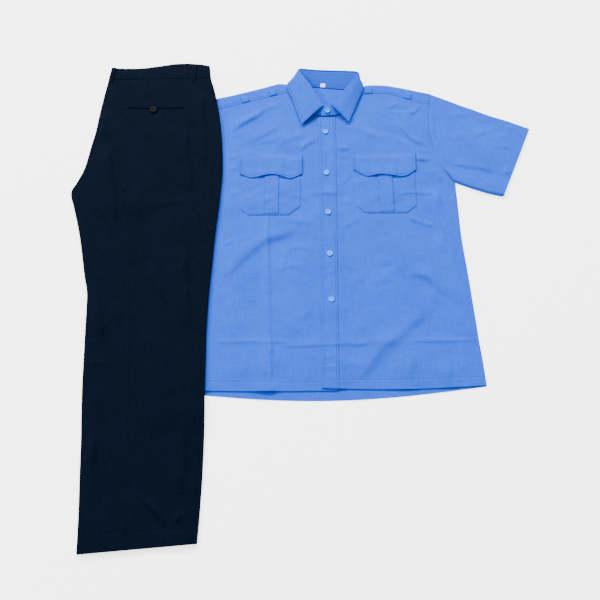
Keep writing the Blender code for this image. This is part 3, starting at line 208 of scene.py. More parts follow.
# %% Grid helpers
CLOTH, TRIM_CLOTH = 1.0 * MM, 0.9 * MM  # the walls that are drawn, a little thinner than the CAD walls
STAND_CLOTH, FALL_CLOTH = 1.1 * MM, 1.2 * MM
TWILL_CLOTH, BAND_CLOTH = 1.1 * MM, 1.3 * MM
Grid = namedtuple("Grid", "points rows columns wall")  # rows and columns are shares from 0 to 1


def metres(rows, shares=0):
    """A table in millimetres as metres. Its last columns, as many as shares says, stay as they are."""
    table = np.array(rows, dtype=float)
    table[:, :table.shape[1] - shares] *= MM
    return table


def xyz(x, y, z):
    """Points from three arrays, each stretched to the rows and columns of the others."""
    return np.stack(np.broadcast_arrays(x, y, z), axis=-1)


def even_grid(points, wall):
    """A grid whose shares run evenly from 0 to 1 over its rows and columns."""
    return Grid(points, *(np.linspace(0, 1, count) for count in points.shape[:2]), wall)


def ease(value):
    """Ease from 0 to 1: t squared times (3 minus 2 t), with t clipped to 0 to 1."""
    t = np.clip(value, 0.0, 1.0)
    return t * t * (3 - 2 * t)


def past(value, start, width):
    """0 before a start, easing to 1 over a width."""
    return ease((value - start) / width)


def until(value, end, width):
    """0 past an end, easing to 1 over a width before it."""
    return ease((end - value) / width)


def within(value, low, high, width):
    """1 between two ends, easing to 0 over a width at each."""
    return ease(np.minimum(value - low, high - value) / width)


def bell(distance, width):
    """A bell of height 1: e to the minus (distance over width) squared."""
    return np.exp(-(distance / width) ** 2)


def smooth(table, at):
    """Read a table at fractional row numbers, along a Catmull-Rom curve through its rows."""
    rows = np.array(table, dtype=float)
    ends = np.concatenate([[2 * rows[0] - rows[1]], rows, [2 * rows[-1] - rows[-2]]])
    first = np.clip(at.astype(int), 0, len(rows) - 2)
    t = (at - first).reshape(-1, *[1] * (rows.ndim - 1))
    a, b, c, d = (ends[first + k] for k in range(4))
    square, cube = 2 * a - 5 * b + 4 * c - d, 3 * b - a - 3 * c + d
    return 0.5 * (2 * b + (c - a) * t + square * t ** 2 + cube * t ** 3)


def places(length, spacing, lines=()):
    """Shares from 0 to 1 along a length: even steps, with a close group at each end and each line."""
    near = np.array([-2.2, -1.2, -0.6, 0.0, 0.6, 1.2, 2.2]) * MM
    groups = [np.linspace(0, length, int(length / spacing) + 2)]
    groups += [line + near for line in (0.0, length, *lines)]
    spots = np.unique(np.round(np.clip(np.concatenate(groups), 0, length), 5))
    keep = np.concatenate([[True], np.diff(spots) > 0.3 * MM])
    keep[-1] = True
    return spots[keep] / length


def running(steps, axis=0):
    """Running total of steps along an axis, from 0."""
    return np.insert(np.cumsum(steps, axis=axis), 0, 0.0, axis=axis)


def steps_of(points, axis):
    """Distances between neighbouring points of a grid along an axis."""
    return np.linalg.norm(np.diff(points, axis=axis), axis=-1)


def run_length(path):
    """Distance travelled along a path of points, 0 at its start."""
    return running(steps_of(path, 0))


def cross_lines(table, steps, spacing, stitch):
    """Cross lines of a piece at close places along its middle: shares, table rows, lines and length.

    The stitch line is a distance from the start, or, where it is negative, from the end.
    """
    fine = np.linspace(0, len(table) - 1, steps)
    lines = smooth(table, fine)
    run = run_length((lines[:, 0:2] + lines[:, 2:4]) / 2)
    rows = places(run[-1], spacing, (stitch if stitch > 0 else run[-1] + stitch,))
    at = np.interp(rows * run[-1], run, fine)
    return rows, at, smooth(table, at), run[-1]


def mesh_of(name, points, faces, flat=None):
    """A mesh from points and faces; flat holds each point's place on the UV map "threads"."""
    mesh = bpy.data.meshes.new(name)
    mesh.from_pydata(points.tolist(), [], faces)
    if flat is not None:
        corners = np.zeros(len(mesh.loops), dtype=int)
        mesh.loops.foreach_get("vertex_index", corners)
        mesh.uv_layers.new(name="threads").data.foreach_set("uv", flat[corners].ravel())
    return mesh


def lay_grid(node_name, grid, material, around=False, keep=None, ending="_cloth"):
    """Make a piece from a grid of points (rows, columns, 3), in place of a CAD node.

    Vertex (r, c) has number r times columns plus c, and each cell is one face. The UV map
    "threads" holds the distance run along the row and along the column, in metres.
    """
    points = grid.points
    rows, columns = points.shape[:2]
    numbers = np.arange(rows * columns).reshape(rows, columns)
    if around:
        numbers = np.hstack([numbers, numbers[:, :1]])
    quads = np.stack([numbers[:-1, :-1], numbers[:-1, 1:], numbers[1:, 1:], numbers[1:, :-1]], axis=-1)
    if keep is not None:
        quads = quads[keep]
    quads = quads.reshape(-1, 4)
    u = running(steps_of(points, 1).mean(axis=0))[None, :]
    v = running(steps_of(points, 0).mean(axis=1))[:, None]
    flat = np.stack(np.broadcast_arrays(u, v), axis=-1).reshape(-1, 2)
    mesh = mesh_of(node_name + ending, points.reshape(-1, 3), quads.tolist(), flat)
    return finish_piece(mesh, material, grid.wall, node_name)


def finish_piece(mesh, material, wall=0.0, stands_for=None):
    """Smooth a mesh, link it at the origin, give it a wall and let it stand for its CAD node."""
    mesh.polygons.foreach_set("use_smooth", np.ones(len(mesh.polygons), dtype=bool))
    mesh.materials.append(material)
    piece = bpy.data.objects.new(mesh.name, mesh)
    bpy.context.scene.collection.objects.link(piece)
    if wall:
        solid = piece.modifiers.new("wall", "SOLIDIFY")
        solid.thickness = wall
        solid.offset = 0.0
        solid.use_even_offset = True
    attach(piece, "root")
    if stands_for:
        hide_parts(stands_for)
    return piece


def area_of(grid):
    """Area of a grid: half the length of each cell's crossed diagonals, summed."""
    one = grid.points[1:, 1:] - grid.points[:-1, :-1]
    other = grid.points[1:, :-1] - grid.points[:-1, 1:]
    return float(np.linalg.norm(np.cross(one, other), axis=2).sum() / 2)


# %% [markdown]
# A seam is a shallow groove under its stitches, and the cloth puckers beside it because the thread
# pulls it in. An edge rolls under. These profiles are added to the height of every piece, from the
# distance to its edge, so one set of formulas finishes the whole set.

# %% Edge and seam profiles
def rolled(distance, drop=0.45 * MM, width=1.0 * MM):
    """An edge turns down: minus the drop times a bell of the distance to it."""
    return -drop * bell(distance, width)


def stitched(distance, line, along, depth=0.30 * MM, pucker=0.16 * MM, wave=11 * MM):
    """A groove under a stitch line, and small waves along it that fade to both sides."""
    phase = 2 * np.pi * along / wave
    waves = np.sin(phase + 1.7 * np.sin(phase * 0.31)) * (0.6 + 0.4 * np.sin(phase * 0.173 + 1.0))
    return -depth * bell(distance - line, 0.9 * MM) + pucker * waves * bell(distance - line, 5 * MM)


def hem(distance, line, along, step=0.35 * MM):
    """A turned hem: double cloth from the edge to its stitch line, then single."""
    return step * ease((line - distance) / (1.5 * MM)) + stitched(distance, line, along) + rolled(distance)


# %% [markdown]
# Creases are the life of laid cloth, and two kinds are drawn here. The wide, soft hollows that the
# CAD model has too are straight rows: start, end, width, height and sway. The sharper ones are seen
# only in the cloth. Each follows a curved path through a few points, is steep on one side and soft
# on the other, and fades in and out, so no two look alike. A cloth simulation would fold the shirt
# in its own way, but tables put each crease where the photo has it. Under them lies a field of
# slow, faint ripples, the sum of a few sine waves in fixed directions.

# %% Creases
Crease = namedtuple("Crease", "x0 y0 x1 y1 width height sway")  # the tables give each in mm


def creases(x, y, table):
    """Sum of creases: height times a skewed bell of the distance, times a slow wave along it."""
    total = np.zeros_like(x)
    for number, row in enumerate(Crease(*row) for row in metres(table)):
        dx, dy = row.x1 - row.x0, row.y1 - row.y0
        length = np.hypot(dx, dy)
        share = ((x - row.x0) * dx + (y - row.y0) * dy) / length ** 2
        beyond = np.maximum(0.0, np.maximum(-share, share - 1)) * length
        inside = np.clip(share, 0, 1)
        aside = ((x - row.x0) * dy - (y - row.y0) * dx) / length
        aside = aside - row.sway * np.sin(np.pi * inside * 1.6 + number)
        width = row.width * np.where(aside > 0, 0.65, 1.35) * (0.8 + 0.3 * np.sin(3.1 * inside + number))
        fade = np.exp(-(beyond / (1.5 * row.width)) ** 2)
        uneven = 0.72 + 0.28 * np.sin(5.3 * inside + 2.1 * number)
        total += row.height * fade * uneven * bell(aside, width)
    return total


def folded(x, y, table):
    """Sum of folds: height times a lopsided bell of the distance to a curved path, times a fade.

    The path runs smoothly through its points. The fade eases in and out along it, and its height
    sways by a sine, so that no fold starts, ends or runs evenly.
    """
    total = np.zeros_like(x)
    for number, (points, width, height) in enumerate(table):
        path = smooth(metres(points), np.linspace(0, len(points) - 1, 41))
        width, height = width * MM, height * MM
        step = np.gradient(path, axis=0)
        step /= np.linalg.norm(step, axis=1, keepdims=True)
        run = run_length(path)
        reach = 3.5 * width
        low, high = path.min(axis=0) - reach, path.max(axis=0) + reach
        near = (x > low[0]) & (x < high[0]) & (y > low[1]) & (y < high[1])
        spot = np.stack([x[near], y[near]], axis=-1)
        closest = np.linalg.norm(spot[:, None] - path, axis=2).argmin(axis=1)
        offset, way = spot - path[closest], step[closest]
        inside = np.clip(run[closest] + (offset * way).sum(axis=1), 0, run[-1])
        aside = offset[:, 0] * way[:, 1] - offset[:, 1] * way[:, 0] + 0.5 * width
        taper = min(0.42 * run[-1], 4.5 * width)
        fade = ease(inside / taper) * ease((run[-1] - inside) / taper)
        uneven = 0.82 + 0.18 * np.sin(9 * inside / run[-1] + 2.1 * number)
        total[near] += height * fade * uneven * bell(aside, width * np.where(aside > 0, 0.55, 1.2))
    return total


def ripples(x, y, wavelength, seed):
    """Slow waves: the mean of nine sines, each with its own fixed direction, length and phase."""
    chance = np.random.default_rng(seed)
    total = np.zeros_like(x)
    for _ in range(9):
        angle, phase = chance.uniform(0, np.pi), chance.uniform(0, 2 * np.pi)
        pace = 2 * np.pi / (wavelength * chance.uniform(0.6, 1.8))
        total += np.sin(pace * (x * np.cos(angle) + y * np.sin(angle)) + phase)
    return total / 3


# The CAD model's own folds: wide hollows, and the press lines
SHIRT_FOLDS = [
    (-31, 98, -190, 0, 20, -1.8, 4), (257, -98, 120, -217, 22, -2, 5), (202, 11, 313, -55, 18, -1.8, 4),
    (140, 372, 280, 328, 18, -1.4, 5), (260, 293, 318, 240, 12, 1.6, 3),
    (-180, 355, -57, 412, 18, -1.4, 4), (-83, 144, -76, -226, 7, 1.2, 1),
    (78, -140, 350, -137, 7, 1.1, 1), (-200, -140, 26, -140, 7, 1.1, 1),
]
# Where the hem stands off the floor
HEM_BULGES = [
    (-70, -252, -74, -205, 22, 4, 2), (205, -250, 215, -200, 25, 1.6, 3),
    (300, -250, 290, -180, 20, 1.8, 3),
]
# The photo's sharper creases. Columns, mm: the points of its path, width and height. A path is the
# foot of the steep side, which lies to the right of its way
FRONT_FOLDS = [
    ([(68, 369), (104, 369), (138, 359), (185, 327)], 13, 2.3),
    ([(197, 383), (219, 369), (243, 340), (284, 317)], 8, 3.1),
    ([(185, 428), (205, 428), (229, 445)], 6, 1.6),
    ([(230, 407), (255, 412), (275, 439)], 7, 2.5),
    ([(166, 420), (210, 418), (254, 420)], 6, -1.2),
    ([(240, 291), (265, 286), (292, 288)], 6, 2.8),
    ([(246, 312), (266, 309), (286, 312)], 4, 1.2),
    ([(67, 317), (87, 314), (108, 314)], 7, 2.3),
    ([(71, 296), (91, 293), (107, 296)], 5, 1.4),
    ([(72, 217), (92, 232), (106, 255)], 8, 1.6),
    ([(200, 188), (218, 200), (251, 202), (299, 197)], 5, 1.4),
    ([(260, 212), (278, 205), (291, 210)], 5, 1.2),
    ([(277, 270), (290, 253), (304, 227)], 6, 2.8),
    ([(301, 148), (299, 188), (294, 222)], 10, 2.5),
    ([(302, 39), (302, 96), (299, 148)], 10, 1.4),
    ([(80, 288), (93, 273), (107, 276)], 6, 1.1),
    ([(72, 188), (89, 178), (109, 173)], 8, 1.6),
    ([(-172, 346), (-147, 375), (-111, 399), (-84, 420), (-33, 437)], 9, 3.3),
    ([(-98, 426), (-68, 428), (-33, 439)], 6, 1.2),
    ([(-150, 314), (-124, 332), (-97, 346), (-47, 377)], 10, 2),
    ([(-114, 312), (-96, 330), (-67, 338), (-42, 356)], 7, 1.2),
    ([(-10, 306), (6, 325), (33, 340)], 7, 3.1),
    ([(-64, 317), (-33, 338), (22, 351)], 12, 2),
    ([(-169, 319), (-155, 312), (-141, 309)], 5, 1.4),
    ([(-177, 291), (-163, 291), (-145, 293)], 6, 1.6),
    ([(-173, 260), (-160, 263), (-144, 265)], 5, 1.2),
    ([(-169, 197), (-154, 200), (-138, 200)], 5, 1.2),
    ([(-41, 188), (-14, 193), (12, 180)], 7, 1.4),
    ([(-6, 197), (30, 200), (90, 200)], 7, 1.4),
    ([(-93, 161), (-85, 180), (-61, 188)], 5, 0.9),
    ([(-190, -4), (-159, 9), (-121, 51), (-83, 84), (-40, 98), (-10, 110)], 14, 3),
    ([(-71, 117), (-43, 134), (-10, 129), (34, 124)], 12, 1.9),
    ([(-174, 72), (-159, 84), (-144, 91)], 5, 1.1),
    ([(-44, 63), (-14, 70), (29, 60)], 8, 1.6),
    ([(-71, -11), (-63, 12), (-31, 25), (24, 16)], 10, 1.4),
    ([(-27, -96), (2, -87), (28, -43)], 12, 1.7),
    ([(-174, -47), (-143, -87), (-113, -126)], 14, 1.4),
    ([(-187, -141), (-142, -141), (-88, -137)], 3.5, 1.1),
    ([(-59, -150), (-10, -150), (84, -146)], 4.5, 1.6),
    ([(-66, -227), (-70, -113), (-73, -25), (-80, 139)], 4.5, 1.6),
    ([(-79, -219), (-80, -113), (-84, -2), (-89, 144)], 4, 1.3),
    ([(-75, -171), (-65, -156), (-68, -135)], 6, 2),
    ([(39, -171), (51, -175), (64, -171)], 5, 1.2),
    ([(39, -194), (51, -196), (67, -198)], 5, 1.2),
    ([(41, 14), (54, 12), (69, 14)], 5, 0.9),
    ([(113, -225), (141, -186), (170, -152), (200, -130), (234, -124)], 18, 4),
    ([(196, -132), (226, -104), (262, -82)], 15, 2.2),
    ([(214, -16), (232, 5), (259, -2), (285, -29), (316, -43)], 14, 3.5),
    ([(217, 146), (247, 132), (288, 117)], 5, 2.5),
    ([(292, 153), (309, 110), (335, 84)], 8, 1.7),
    ([(73, 112), (103, 127), (134, 148)], 9, 1.4),
    ([(75, 35), (101, 19), (119, -25)], 12, 1.9),
    ([(130, 12), (171, 19), (221, 39)], 12, -1.4),
    ([(129, -16), (170, -9), (201, -16)], 14, 1.4),
    ([(315, -58), (326, -96), (348, -139)], 11, 2),
    ([(68, -143), (103, -148), (142, -143)], 4.5, 1.4),
    ([(215, -139), (290, -139), (353, -135)], 3.5, 1.2),
    ([(306, 100), (311, 39), (320, -13)], 12, 1.2),
    ([(297, -167), (312, -186), (326, -211)], 10, 1.4),
    ([(73, -198), (96, -190), (114, -203)], 9, 1.2),
]
SLEEVE_FOLDS = [
    ([(377, 339), (401, 352), (429, 362), (456, 376)], 9, 2.1),
    ([(454, 378), (469, 370), (484, 360)], 6, 1.8),
    ([(326, 400), (354, 402), (401, 413)], 9, 1.8),
    ([(318, 279), (354, 271), (394, 264), (431, 251)], 8, 2.4),
    ([(416, 312), (443, 318), (475, 315)], 6, 1.2),
    ([(437, 248), (451, 253), (469, 256)], 7, 1.4),
    ([(337, 354), (359, 341), (375, 315)], 12, 1.2),
    ([(437, 349), (457, 346), (478, 349)], 6, 1.2),
    ([(301, 326), (297, 368), (298, 427)], 7, 2.3),
]
print("shirt creases:", len(SHIRT_FOLDS) + len(FRONT_FOLDS) + len(SLEEVE_FOLDS))

# %% [markdown]
# The shirt's heights repeat the CAD model's formula. The back lies on the floor and the front on
# the back, 2.4 mm up at the edges and about 4 mm in the middle, where air is caught between them.
# The loft and folds fade out at each edge, under the collar and under the trousers.

# %% Shirt heights
SHIRT_WALL, TRIM_WALL, GAP = 1.2 * MM, 1.0 * MM, 0.35 * MM
BACK_MID, FRONT_MID = 0.6 * MM, 2.4 * MM
LAP = SHIRT_WALL + GAP
BODY_LOFT = 2.2 * MM
SHOULDER_AXIS = 0.0444  # the shirt's centre line at the shoulders
TROUSER_EDGE = -0.187  # left of here the trousers press the shirt flat
BODY_SIDES, LOWER_EDGE = (-0.255, 0.345), -0.240  # the loft has faded out here
ARMHOLE_SIDES, UNDERARM = (-0.215, 0.302), 0.180  # and beside the armholes, from the underarm up
PLACKET_MIDDLE = 0.052
ON_FRONT = SHIRT_WALL / 2 + GAP + TRIM_WALL / 2  # from the front's middle to that of a piece on it
# Columns, mm: x and y along the front seam
YOKE_SEAM = metres([
    (-202.2, 422.2), (-179, 428.8), (-155, 435.6), (-130, 442.7), (-105, 449.7), (-82, 456.2),
    (-60, 462.4), (-38.5, 468.5), (127.5, 460), (145, 464), (162, 466.5), (195, 466.5), (230, 454),
    (262, 442.5), (291, 437),
])


def yoke_seam_y(x):
    """Where the yoke's front seam crosses a place across the shirt, between the table's points."""
    return np.interp(x, YOKE_SEAM[:, 0], YOKE_SEAM[:, 1])


def shirt_top(x, y):
    """Height of the front's middle: base, plus faded loft and wide folds, plus the sharp ones."""
    body = within(x, *BODY_SIDES, 0.075)
    ends = within(y, LOWER_EDGE, yoke_seam_y(x) - 0.004, 0.050)
    armhole = 1 - past(y, UNDERARM, 0.050) * (1 - within(x, *ARMHOLE_SIDES, 0.050))
    clear = 1 - ease(1.6 - np.hypot((x - SHOULDER_AXIS) / 0.115, (y - 0.455) / 0.075))  # 0 at the neck
    press = 1 - 0.6 * bell(x - PLACKET_MIDDLE, 0.030)
    loft = BODY_LOFT * press + creases(x, y, SHIRT_FOLDS) + 0.45 * MM * ripples(x, y, 0.060, 7)
    window = body * ends * armhole * clear * past(x, TROUSER_EDGE, 0.040)
    sharp = folded(x, y, FRONT_FOLDS) + creases(x, y, HEM_BULGES) + 0.09 * MM * ripples(x, y, 0.020, 17)
    return FRONT_MID + np.maximum(0.0, window * loft + clear * past(x, TROUSER_EDGE + 0.001, 0.010) * sharp)


def left_top(x, y):
    """The left front is raised by one layer where it lies on the right one."""
    lap_end = 0.0900 + 0.0350 * past(y, 0.370, 0.030)
    return shirt_top(x, y) + LAP * until(x, lap_end, 0.018)


# %% [markdown]
# Both fronts and the back are cut panels. Their outlines come from tables of cross lines, from hem
# to yoke: the two ends of each line and its bow. A curve through the rows gives as many lines as
# the grid needs. Modelling each panel by hand would give the same outline, but then the pockets and
# the placket could not lie on it so closely.

# %% Body panels
# Columns of each panel, mm: x and y of the inner end, x and y of the outer end, bow
LEFT_FRONT = metres([
    (34.5, -236, 367, -230, -5), (34.5, -190, 364, -185, -2), (35, -137, 359, -134, 0),
    (35.5, -90, 356, -90, 0), (35.5, -47, 353, -55, 0), (36, 10, 348, 10, 0), (36.5, 70, 342, 75, 0),
    (36, 110, 339, 115, 0), (36, 150, 337.5, 155, 0), (36, 190, 336, 198, 0), (36, 222, 334.5, 233.5, 0),
    (35, 260, 313, 269.7, 0), (34.5, 292, 301, 295, 0), (33.5, 318, 296, 317, 0),
    (33, 342, 292.5, 339, 0), (32.5, 372, 290, 362, 0), (32, 399, 289, 385, 0), (85, 410, 289.8, 406, 1),
    (112, 433, 290.4, 423, 4), (127, 458.5, 290.9, 436.5, 0),
])
RIGHT_FRONT = metres([
    (67, -241, -277, -240, -2), (68, -190, -273.5, -185, 0), (68, -136, -270, -136, 0),
    (68, -90, -267, -90, 0), (68, -47, -264, -55, 0), (68.5, 10, -258, 10, 0), (69, 70, -252, 77, 0),
    (69, 110, -250, 115, 0), (69, 150, -249, 155, 0), (68.5, 190, -248, 198, 0),
    (68, 223, -245.7, 233.5, 0), (67, 263, -224.2, 267.7, 0), (66, 293, -212.2, 291.6, 0),
    (65.5, 318, -207.2, 312.3, 0), (65, 343, -203.7, 333.1, 0), (64.5, 372, -201.2, 354.8, 0),
    (64, 400, -200.2, 376.5, 0), (6, 410, -200.9, 395, 0), (-20, 435, -201.4, 408, 2),
    (-38, 468, -201.9, 421.8, 0),
])
BACK = metres([
    (-276.5, -243, 366.8, -232, -24), (-273.5, -188, 364, -187, -4), (-270, -136, 359, -134, 0),
    (-264, -54, 353, -54, 0), (-252, 78, 341.5, 78, 0), (-245.7, 233.5, 334.5, 233.5, 0),
    (-224.2, 267.7, 313, 269.7, 0), (-212.2, 291.6, 301, 295, 0), (-207.2, 312.3, 296, 317, 0),
    (-203.7, 333.1, 292.5, 339, 0), (-201, 360, 290.2, 360, 0),
])
HEM_LINE = 0.018
SIDE_STITCH = 0.006
FRONT_WIDTH, FRONT_LENGTH = 0.333, 0.700


def panel(table, spacing, top, to_seam, hem_up=1.0):
    """Grid of a panel: each cross line is straight plus a bowed sine, and rows run up from the hem."""
    rows, at, lines, length = cross_lines(table, 40 * len(table), spacing, HEM_LINE)
    x_in, y_in, x_out, y_out, bow = (column[:, None] for column in lines.T)
    width = abs(table[0][2] - table[0][0])
    columns = places(width, spacing, (width - SIDE_STITCH,))
    x = x_in + (x_out - x_in) * columns
    y = y_in + (y_out - y_in) * columns + bow * np.sin(np.pi * columns)
    if to_seam:
        last = np.clip(at - (len(table) - 2), 0, 1)[:, None]
        y = y + last * (yoke_seam_y(x) - 0.0004 - y)
    up = (rows * length)[:, None]
    inner, outer = columns * width, (1 - columns) * width
    z = top(x, y) + hem_up * (hem(up, HEM_LINE, x) + rolled(inner) + rolled(outer) + rolled(length - up)
                              + stitched(outer, SIDE_STITCH, y, 0.2 * MM))
    return Grid(xyz(x, y, z), rows, columns, CLOTH)


left_grid = panel(LEFT_FRONT, 2.9 * MM, left_top, True)
right_grid = panel(RIGHT_FRONT, 2.9 * MM, shirt_top, True)
back_grid = panel(BACK, 7.0 * MM, lambda x, y: BACK_MID + 0 * x, False, 0.1)
front_left = lay_grid("shirt_front_left", left_grid, poplin)
front_right = lay_grid("shirt_front_right", right_grid, poplin)
back = lay_grid("shirt_back", back_grid, poplin)
for grid in (left_grid, right_grid, back_grid):
    print("panel area, m2:", round(area_of(grid), 4), "grid:", grid.points.shape[:2])

# %% [markdown]
# The yoke is one piece that lies on the floor behind the neck, folds over at each shoulder and ends
# at the front seams. Every column of its grid is that path, and the cells above the neck opening
# are left out. The front seam is lapped: the yoke's edge rolls down onto the fronts.

# %% Yoke
# Columns, mm: x, and the shoulder fold's y
YOKE_COLUMNS = metres([
    (-202.2, 453), (-179, 458.5), (-155, 465), (-130, 472), (-105, 479.5), (-82, 486.8), (-60, 494),
    (-38.5, 492), (-33, 490), (-5, 487), (20, 485), (45, 482.5), (70, 480), (95, 478.5), (122, 481),
    (127.5, 484), (145, 488.5), (162, 490.5), (195, 488.5), (230, 481), (262, 473), (291, 466),
])
# Columns, mm: x and y from the underarm up
ARMHOLE = metres([
    (334.5, 233.5), (323.6, 252), (313, 269.7), (301, 295), (296, 317), (292.5, 339), (290, 362),
    (289, 385), (290.5, 425.5), (292, 466),
])
ARMHOLE_FINE = smooth(ARMHOLE, np.linspace(0, len(ARMHOLE) - 1, 90))
RIGHT_SCALE = 0.944
FOLD_RADIUS = (FRONT_MID - BACK_MID) / 2
YOKE_BACK_SEAM = 0.3605
NECK_LEFT, NECK_RIGHT = -0.0385, 0.1275


def armhole_x(y):
    """Where the left armhole crosses a height up the shirt."""
    return np.interp(y, ARMHOLE_FINE[:, 1], ARMHOLE_FINE[:, 0])


def right_armhole_x(y):
    """The right armhole mirrors the left one and is a little shorter."""
    low = ARMHOLE[0, 1]
    return 2 * SHOULDER_AXIS - armhole_x(low + (y - low) / RIGHT_SCALE)


YOKE_FRONT = 0.030  # how far the yoke comes down over the front, about
yoke_front_shares = places(YOKE_FRONT, 2.0 * MM, (YOKE_FRONT - SIDE_STITCH,))


def yoke_grid():
    """Columns across the shoulders; along each, back part, half turn of the fold, front part."""
    table = YOKE_COLUMNS
    at_x = np.unique(np.concatenate([np.linspace(table[0, 0], table[-1, 0], 155), table[:, 0]]))
    shoulder = np.interp(at_x, table[:, 0], table[:, 1])
    kernel = np.array([1, 2, 3, 2, 1]) / 9
    soft = np.convolve(np.pad(shoulder, 2, mode="edge"), kernel, mode="valid")
    axis = (soft - FOLD_RADIUS)[None, :]
    behind = np.linspace(0, 1, 26)[:, None]
    turn = np.linspace(-np.pi / 2, np.pi / 2, 11)[1:-1, None]
    before = yoke_front_shares[:, None]
    seam = (yoke_seam_y(at_x) + 0.0003)[None, :]
    neck_lap = 2.5 * MM * ((at_x > NECK_LEFT) & (at_x < NECK_RIGHT))[None, :]
    y = np.vstack([YOKE_BACK_SEAM + (axis + neck_lap - YOKE_BACK_SEAM) * behind,
                   axis + FOLD_RADIUS * np.cos(turn), axis + (seam - axis) * before])
    x = np.broadcast_to(at_x, y.shape).copy()
    x += past(x, table[-2, 0], 0.029) * (armhole_x(y) - table[-1, 0])
    x += until(x, table[1, 0], 0.0232) * (right_armhole_x(y) - table[0, 0])
    first_front = len(behind) + len(turn)
    to_seam = (y - seam)[first_front:]
    front_x, front_y = x[first_front:], y[first_front:]
    lift = (shirt_top(front_x, front_y) - FRONT_MID) * until(front_y, axis, 0.012)
    front_z = FRONT_MID + lift + 0.25 * MM * ease(to_seam / 0.002) * until(front_y, axis, 0.004)
    front_z = front_z + rolled(to_seam) + stitched(to_seam, SIDE_STITCH, front_x)
    z = np.vstack([BACK_MID + 0 * y[:len(behind)], BACK_MID + FOLD_RADIUS * (1 + np.sin(turn)) + 0 * axis,
                   front_z])
    cells = (x[:-1, :-1] + x[:-1, 1:]) / 2
    above = np.arange(len(y) - 1)[:, None] >= len(behind) - 1
    keep = ~(above & (cells > NECK_LEFT) & (cells < NECK_RIGHT))
    return even_grid(xyz(x, y, z), CLOTH), keep, first_front


yoke_shape, yoke_keep, yoke_front_row = yoke_grid()
yoke = lay_grid("shirt_yoke", yoke_shape, poplin, keep=yoke_keep)
print("yoke grid:", yoke_shape.points.shape[:2], "cells kept:", int(yoke_keep.sum()))

# %% [markdown]
# A sleeve laid flat is a tube pressed nearly shut: a front layer, a fold along the top of the arm,
# a back layer and the underarm fold. Each ring of the grid runs through all four. The rings follow
# the armhole's curve at the shoulder and straighten towards the cuff, whose hem is 25 mm deep.

# %% Sleeves
# Columns, mm: x and y on the fold, x and y at the underarm, loft. Last, the share of the armhole's curve
SLEEVE = metres([
    (292, 466, 334.5, 233.5, 0, 1), (312, 457, 347, 228, 1, 0.85), (335, 447, 358, 223.5, 2, 0.65),
    (361, 435, 369, 219, 3, 0.45), (390, 423, 387, 212.5, 3.6, 0.28), (429, 406, 404, 206.5, 3.6, 0.14),
    (465, 393, 420, 202, 3, 0.04), (496, 380, 433, 199, 2.4, 0), (517, 371, 442, 198, 1.8, 0),
], 1)
CUFF_LINE = 0.025
ARM_LAP = 1.2 * MM  # the sleeve tucks this far under the body at the armhole
UNDERARM_COLUMN = 0.012  # where the underarm seam shows, as a share of the front layer


def sleeve_grid(right_side, spacing):
    """Rings round a flattened tube: armhole curve up the front, fold, the same curve down the back."""
    rings, _, ring, arm_length = cross_lines(SLEEVE, 400, spacing, -CUFF_LINE)
    top, under = ring[:, None, 0:2], ring[:, None, 2:4]
    loft, curve = ring[:, 4:5], ring[:, 5:6]
    length = np.linalg.norm(top - under, axis=2)
    axis = (top - under) / length[..., None]
    along = (np.linspace(0, 1, int(0.24 / spacing)) ** 1.15)[None, :]
    inner = along * (1 - 2 * FOLD_RADIUS / length) + FOLD_RADIUS / length
    chord = (ARMHOLE_FINE[:, 1] - ARMHOLE[0, 1]) / (ARMHOLE[-1, 1] - ARMHOLE[0, 1])
    straight = ARMHOLE[0, 0] + (ARMHOLE[-1, 0] - ARMHOLE[0, 0]) * chord
    bend = np.interp(along, chord, ARMHOLE_FINE[:, 0] - straight) * curve
    front = under + (top - under) * inner[..., None] + np.stack([bend - ARM_LAP, 0 * bend], axis=-1)
    turn = np.linspace(np.pi / 2, -np.pi / 2, 9)[None, 1:-1]
    over = front[:, -1:] + axis * (FOLD_RADIUS * np.cos(turn))[..., None]
    below = front[:, :1] - axis * (FOLD_RADIUS * np.cos(turn[:, ::-1]))[..., None]
    flat = np.concatenate([front, over, front[:, ::-1], below], axis=1)
    arm = (rings * arm_length)[:, None]
    cuff = arm_length - arm
    x, y = front[..., 0], front[..., 1]
    rise = (0.0 if right_side else 1.0) * loft * np.sin(np.pi * along) ** 2
    soft = np.sin(np.pi * along) ** 0.5
    sharp = folded(x, y, SLEEVE_FOLDS) + folded(x, y, FRONT_FOLDS) + 0.2 * MM * ripples(x, y, 0.045, 11)
    from_fold = along * length
    round_edge = np.sqrt(1 - (1 - np.clip(from_fold / 0.004, 0, 1)) ** 2)
    underarm = 4.2 * MM * round_edge * (1 - past(from_fold, 0.010, 0.045)) * ease(arm / 0.0016)
    folds = 0 * x if right_side else soft * sharp + underarm
    z_front = FRONT_MID + rise + folds + soft * (rolled(arm, 0.9 * MM, 1.5 * MM) + hem(cuff, CUFF_LINE, y))
    z_turn = BACK_MID + FOLD_RADIUS * (1 + np.sin(turn)) + 0 * arm
    z_back = BACK_MID + 0 * z_front
    z = np.concatenate([z_front, z_turn, z_back, z_turn[:, ::-1]], axis=1)
    if right_side:
        low = ARMHOLE[0, 1]
        flat = np.stack([2 * SHOULDER_AXIS - flat[..., 0],
                         low + (flat[..., 1] - low) * RIGHT_SCALE], axis=-1)
    return np.concatenate([flat, z[..., None]], axis=-1), rings, arm_length, along.size


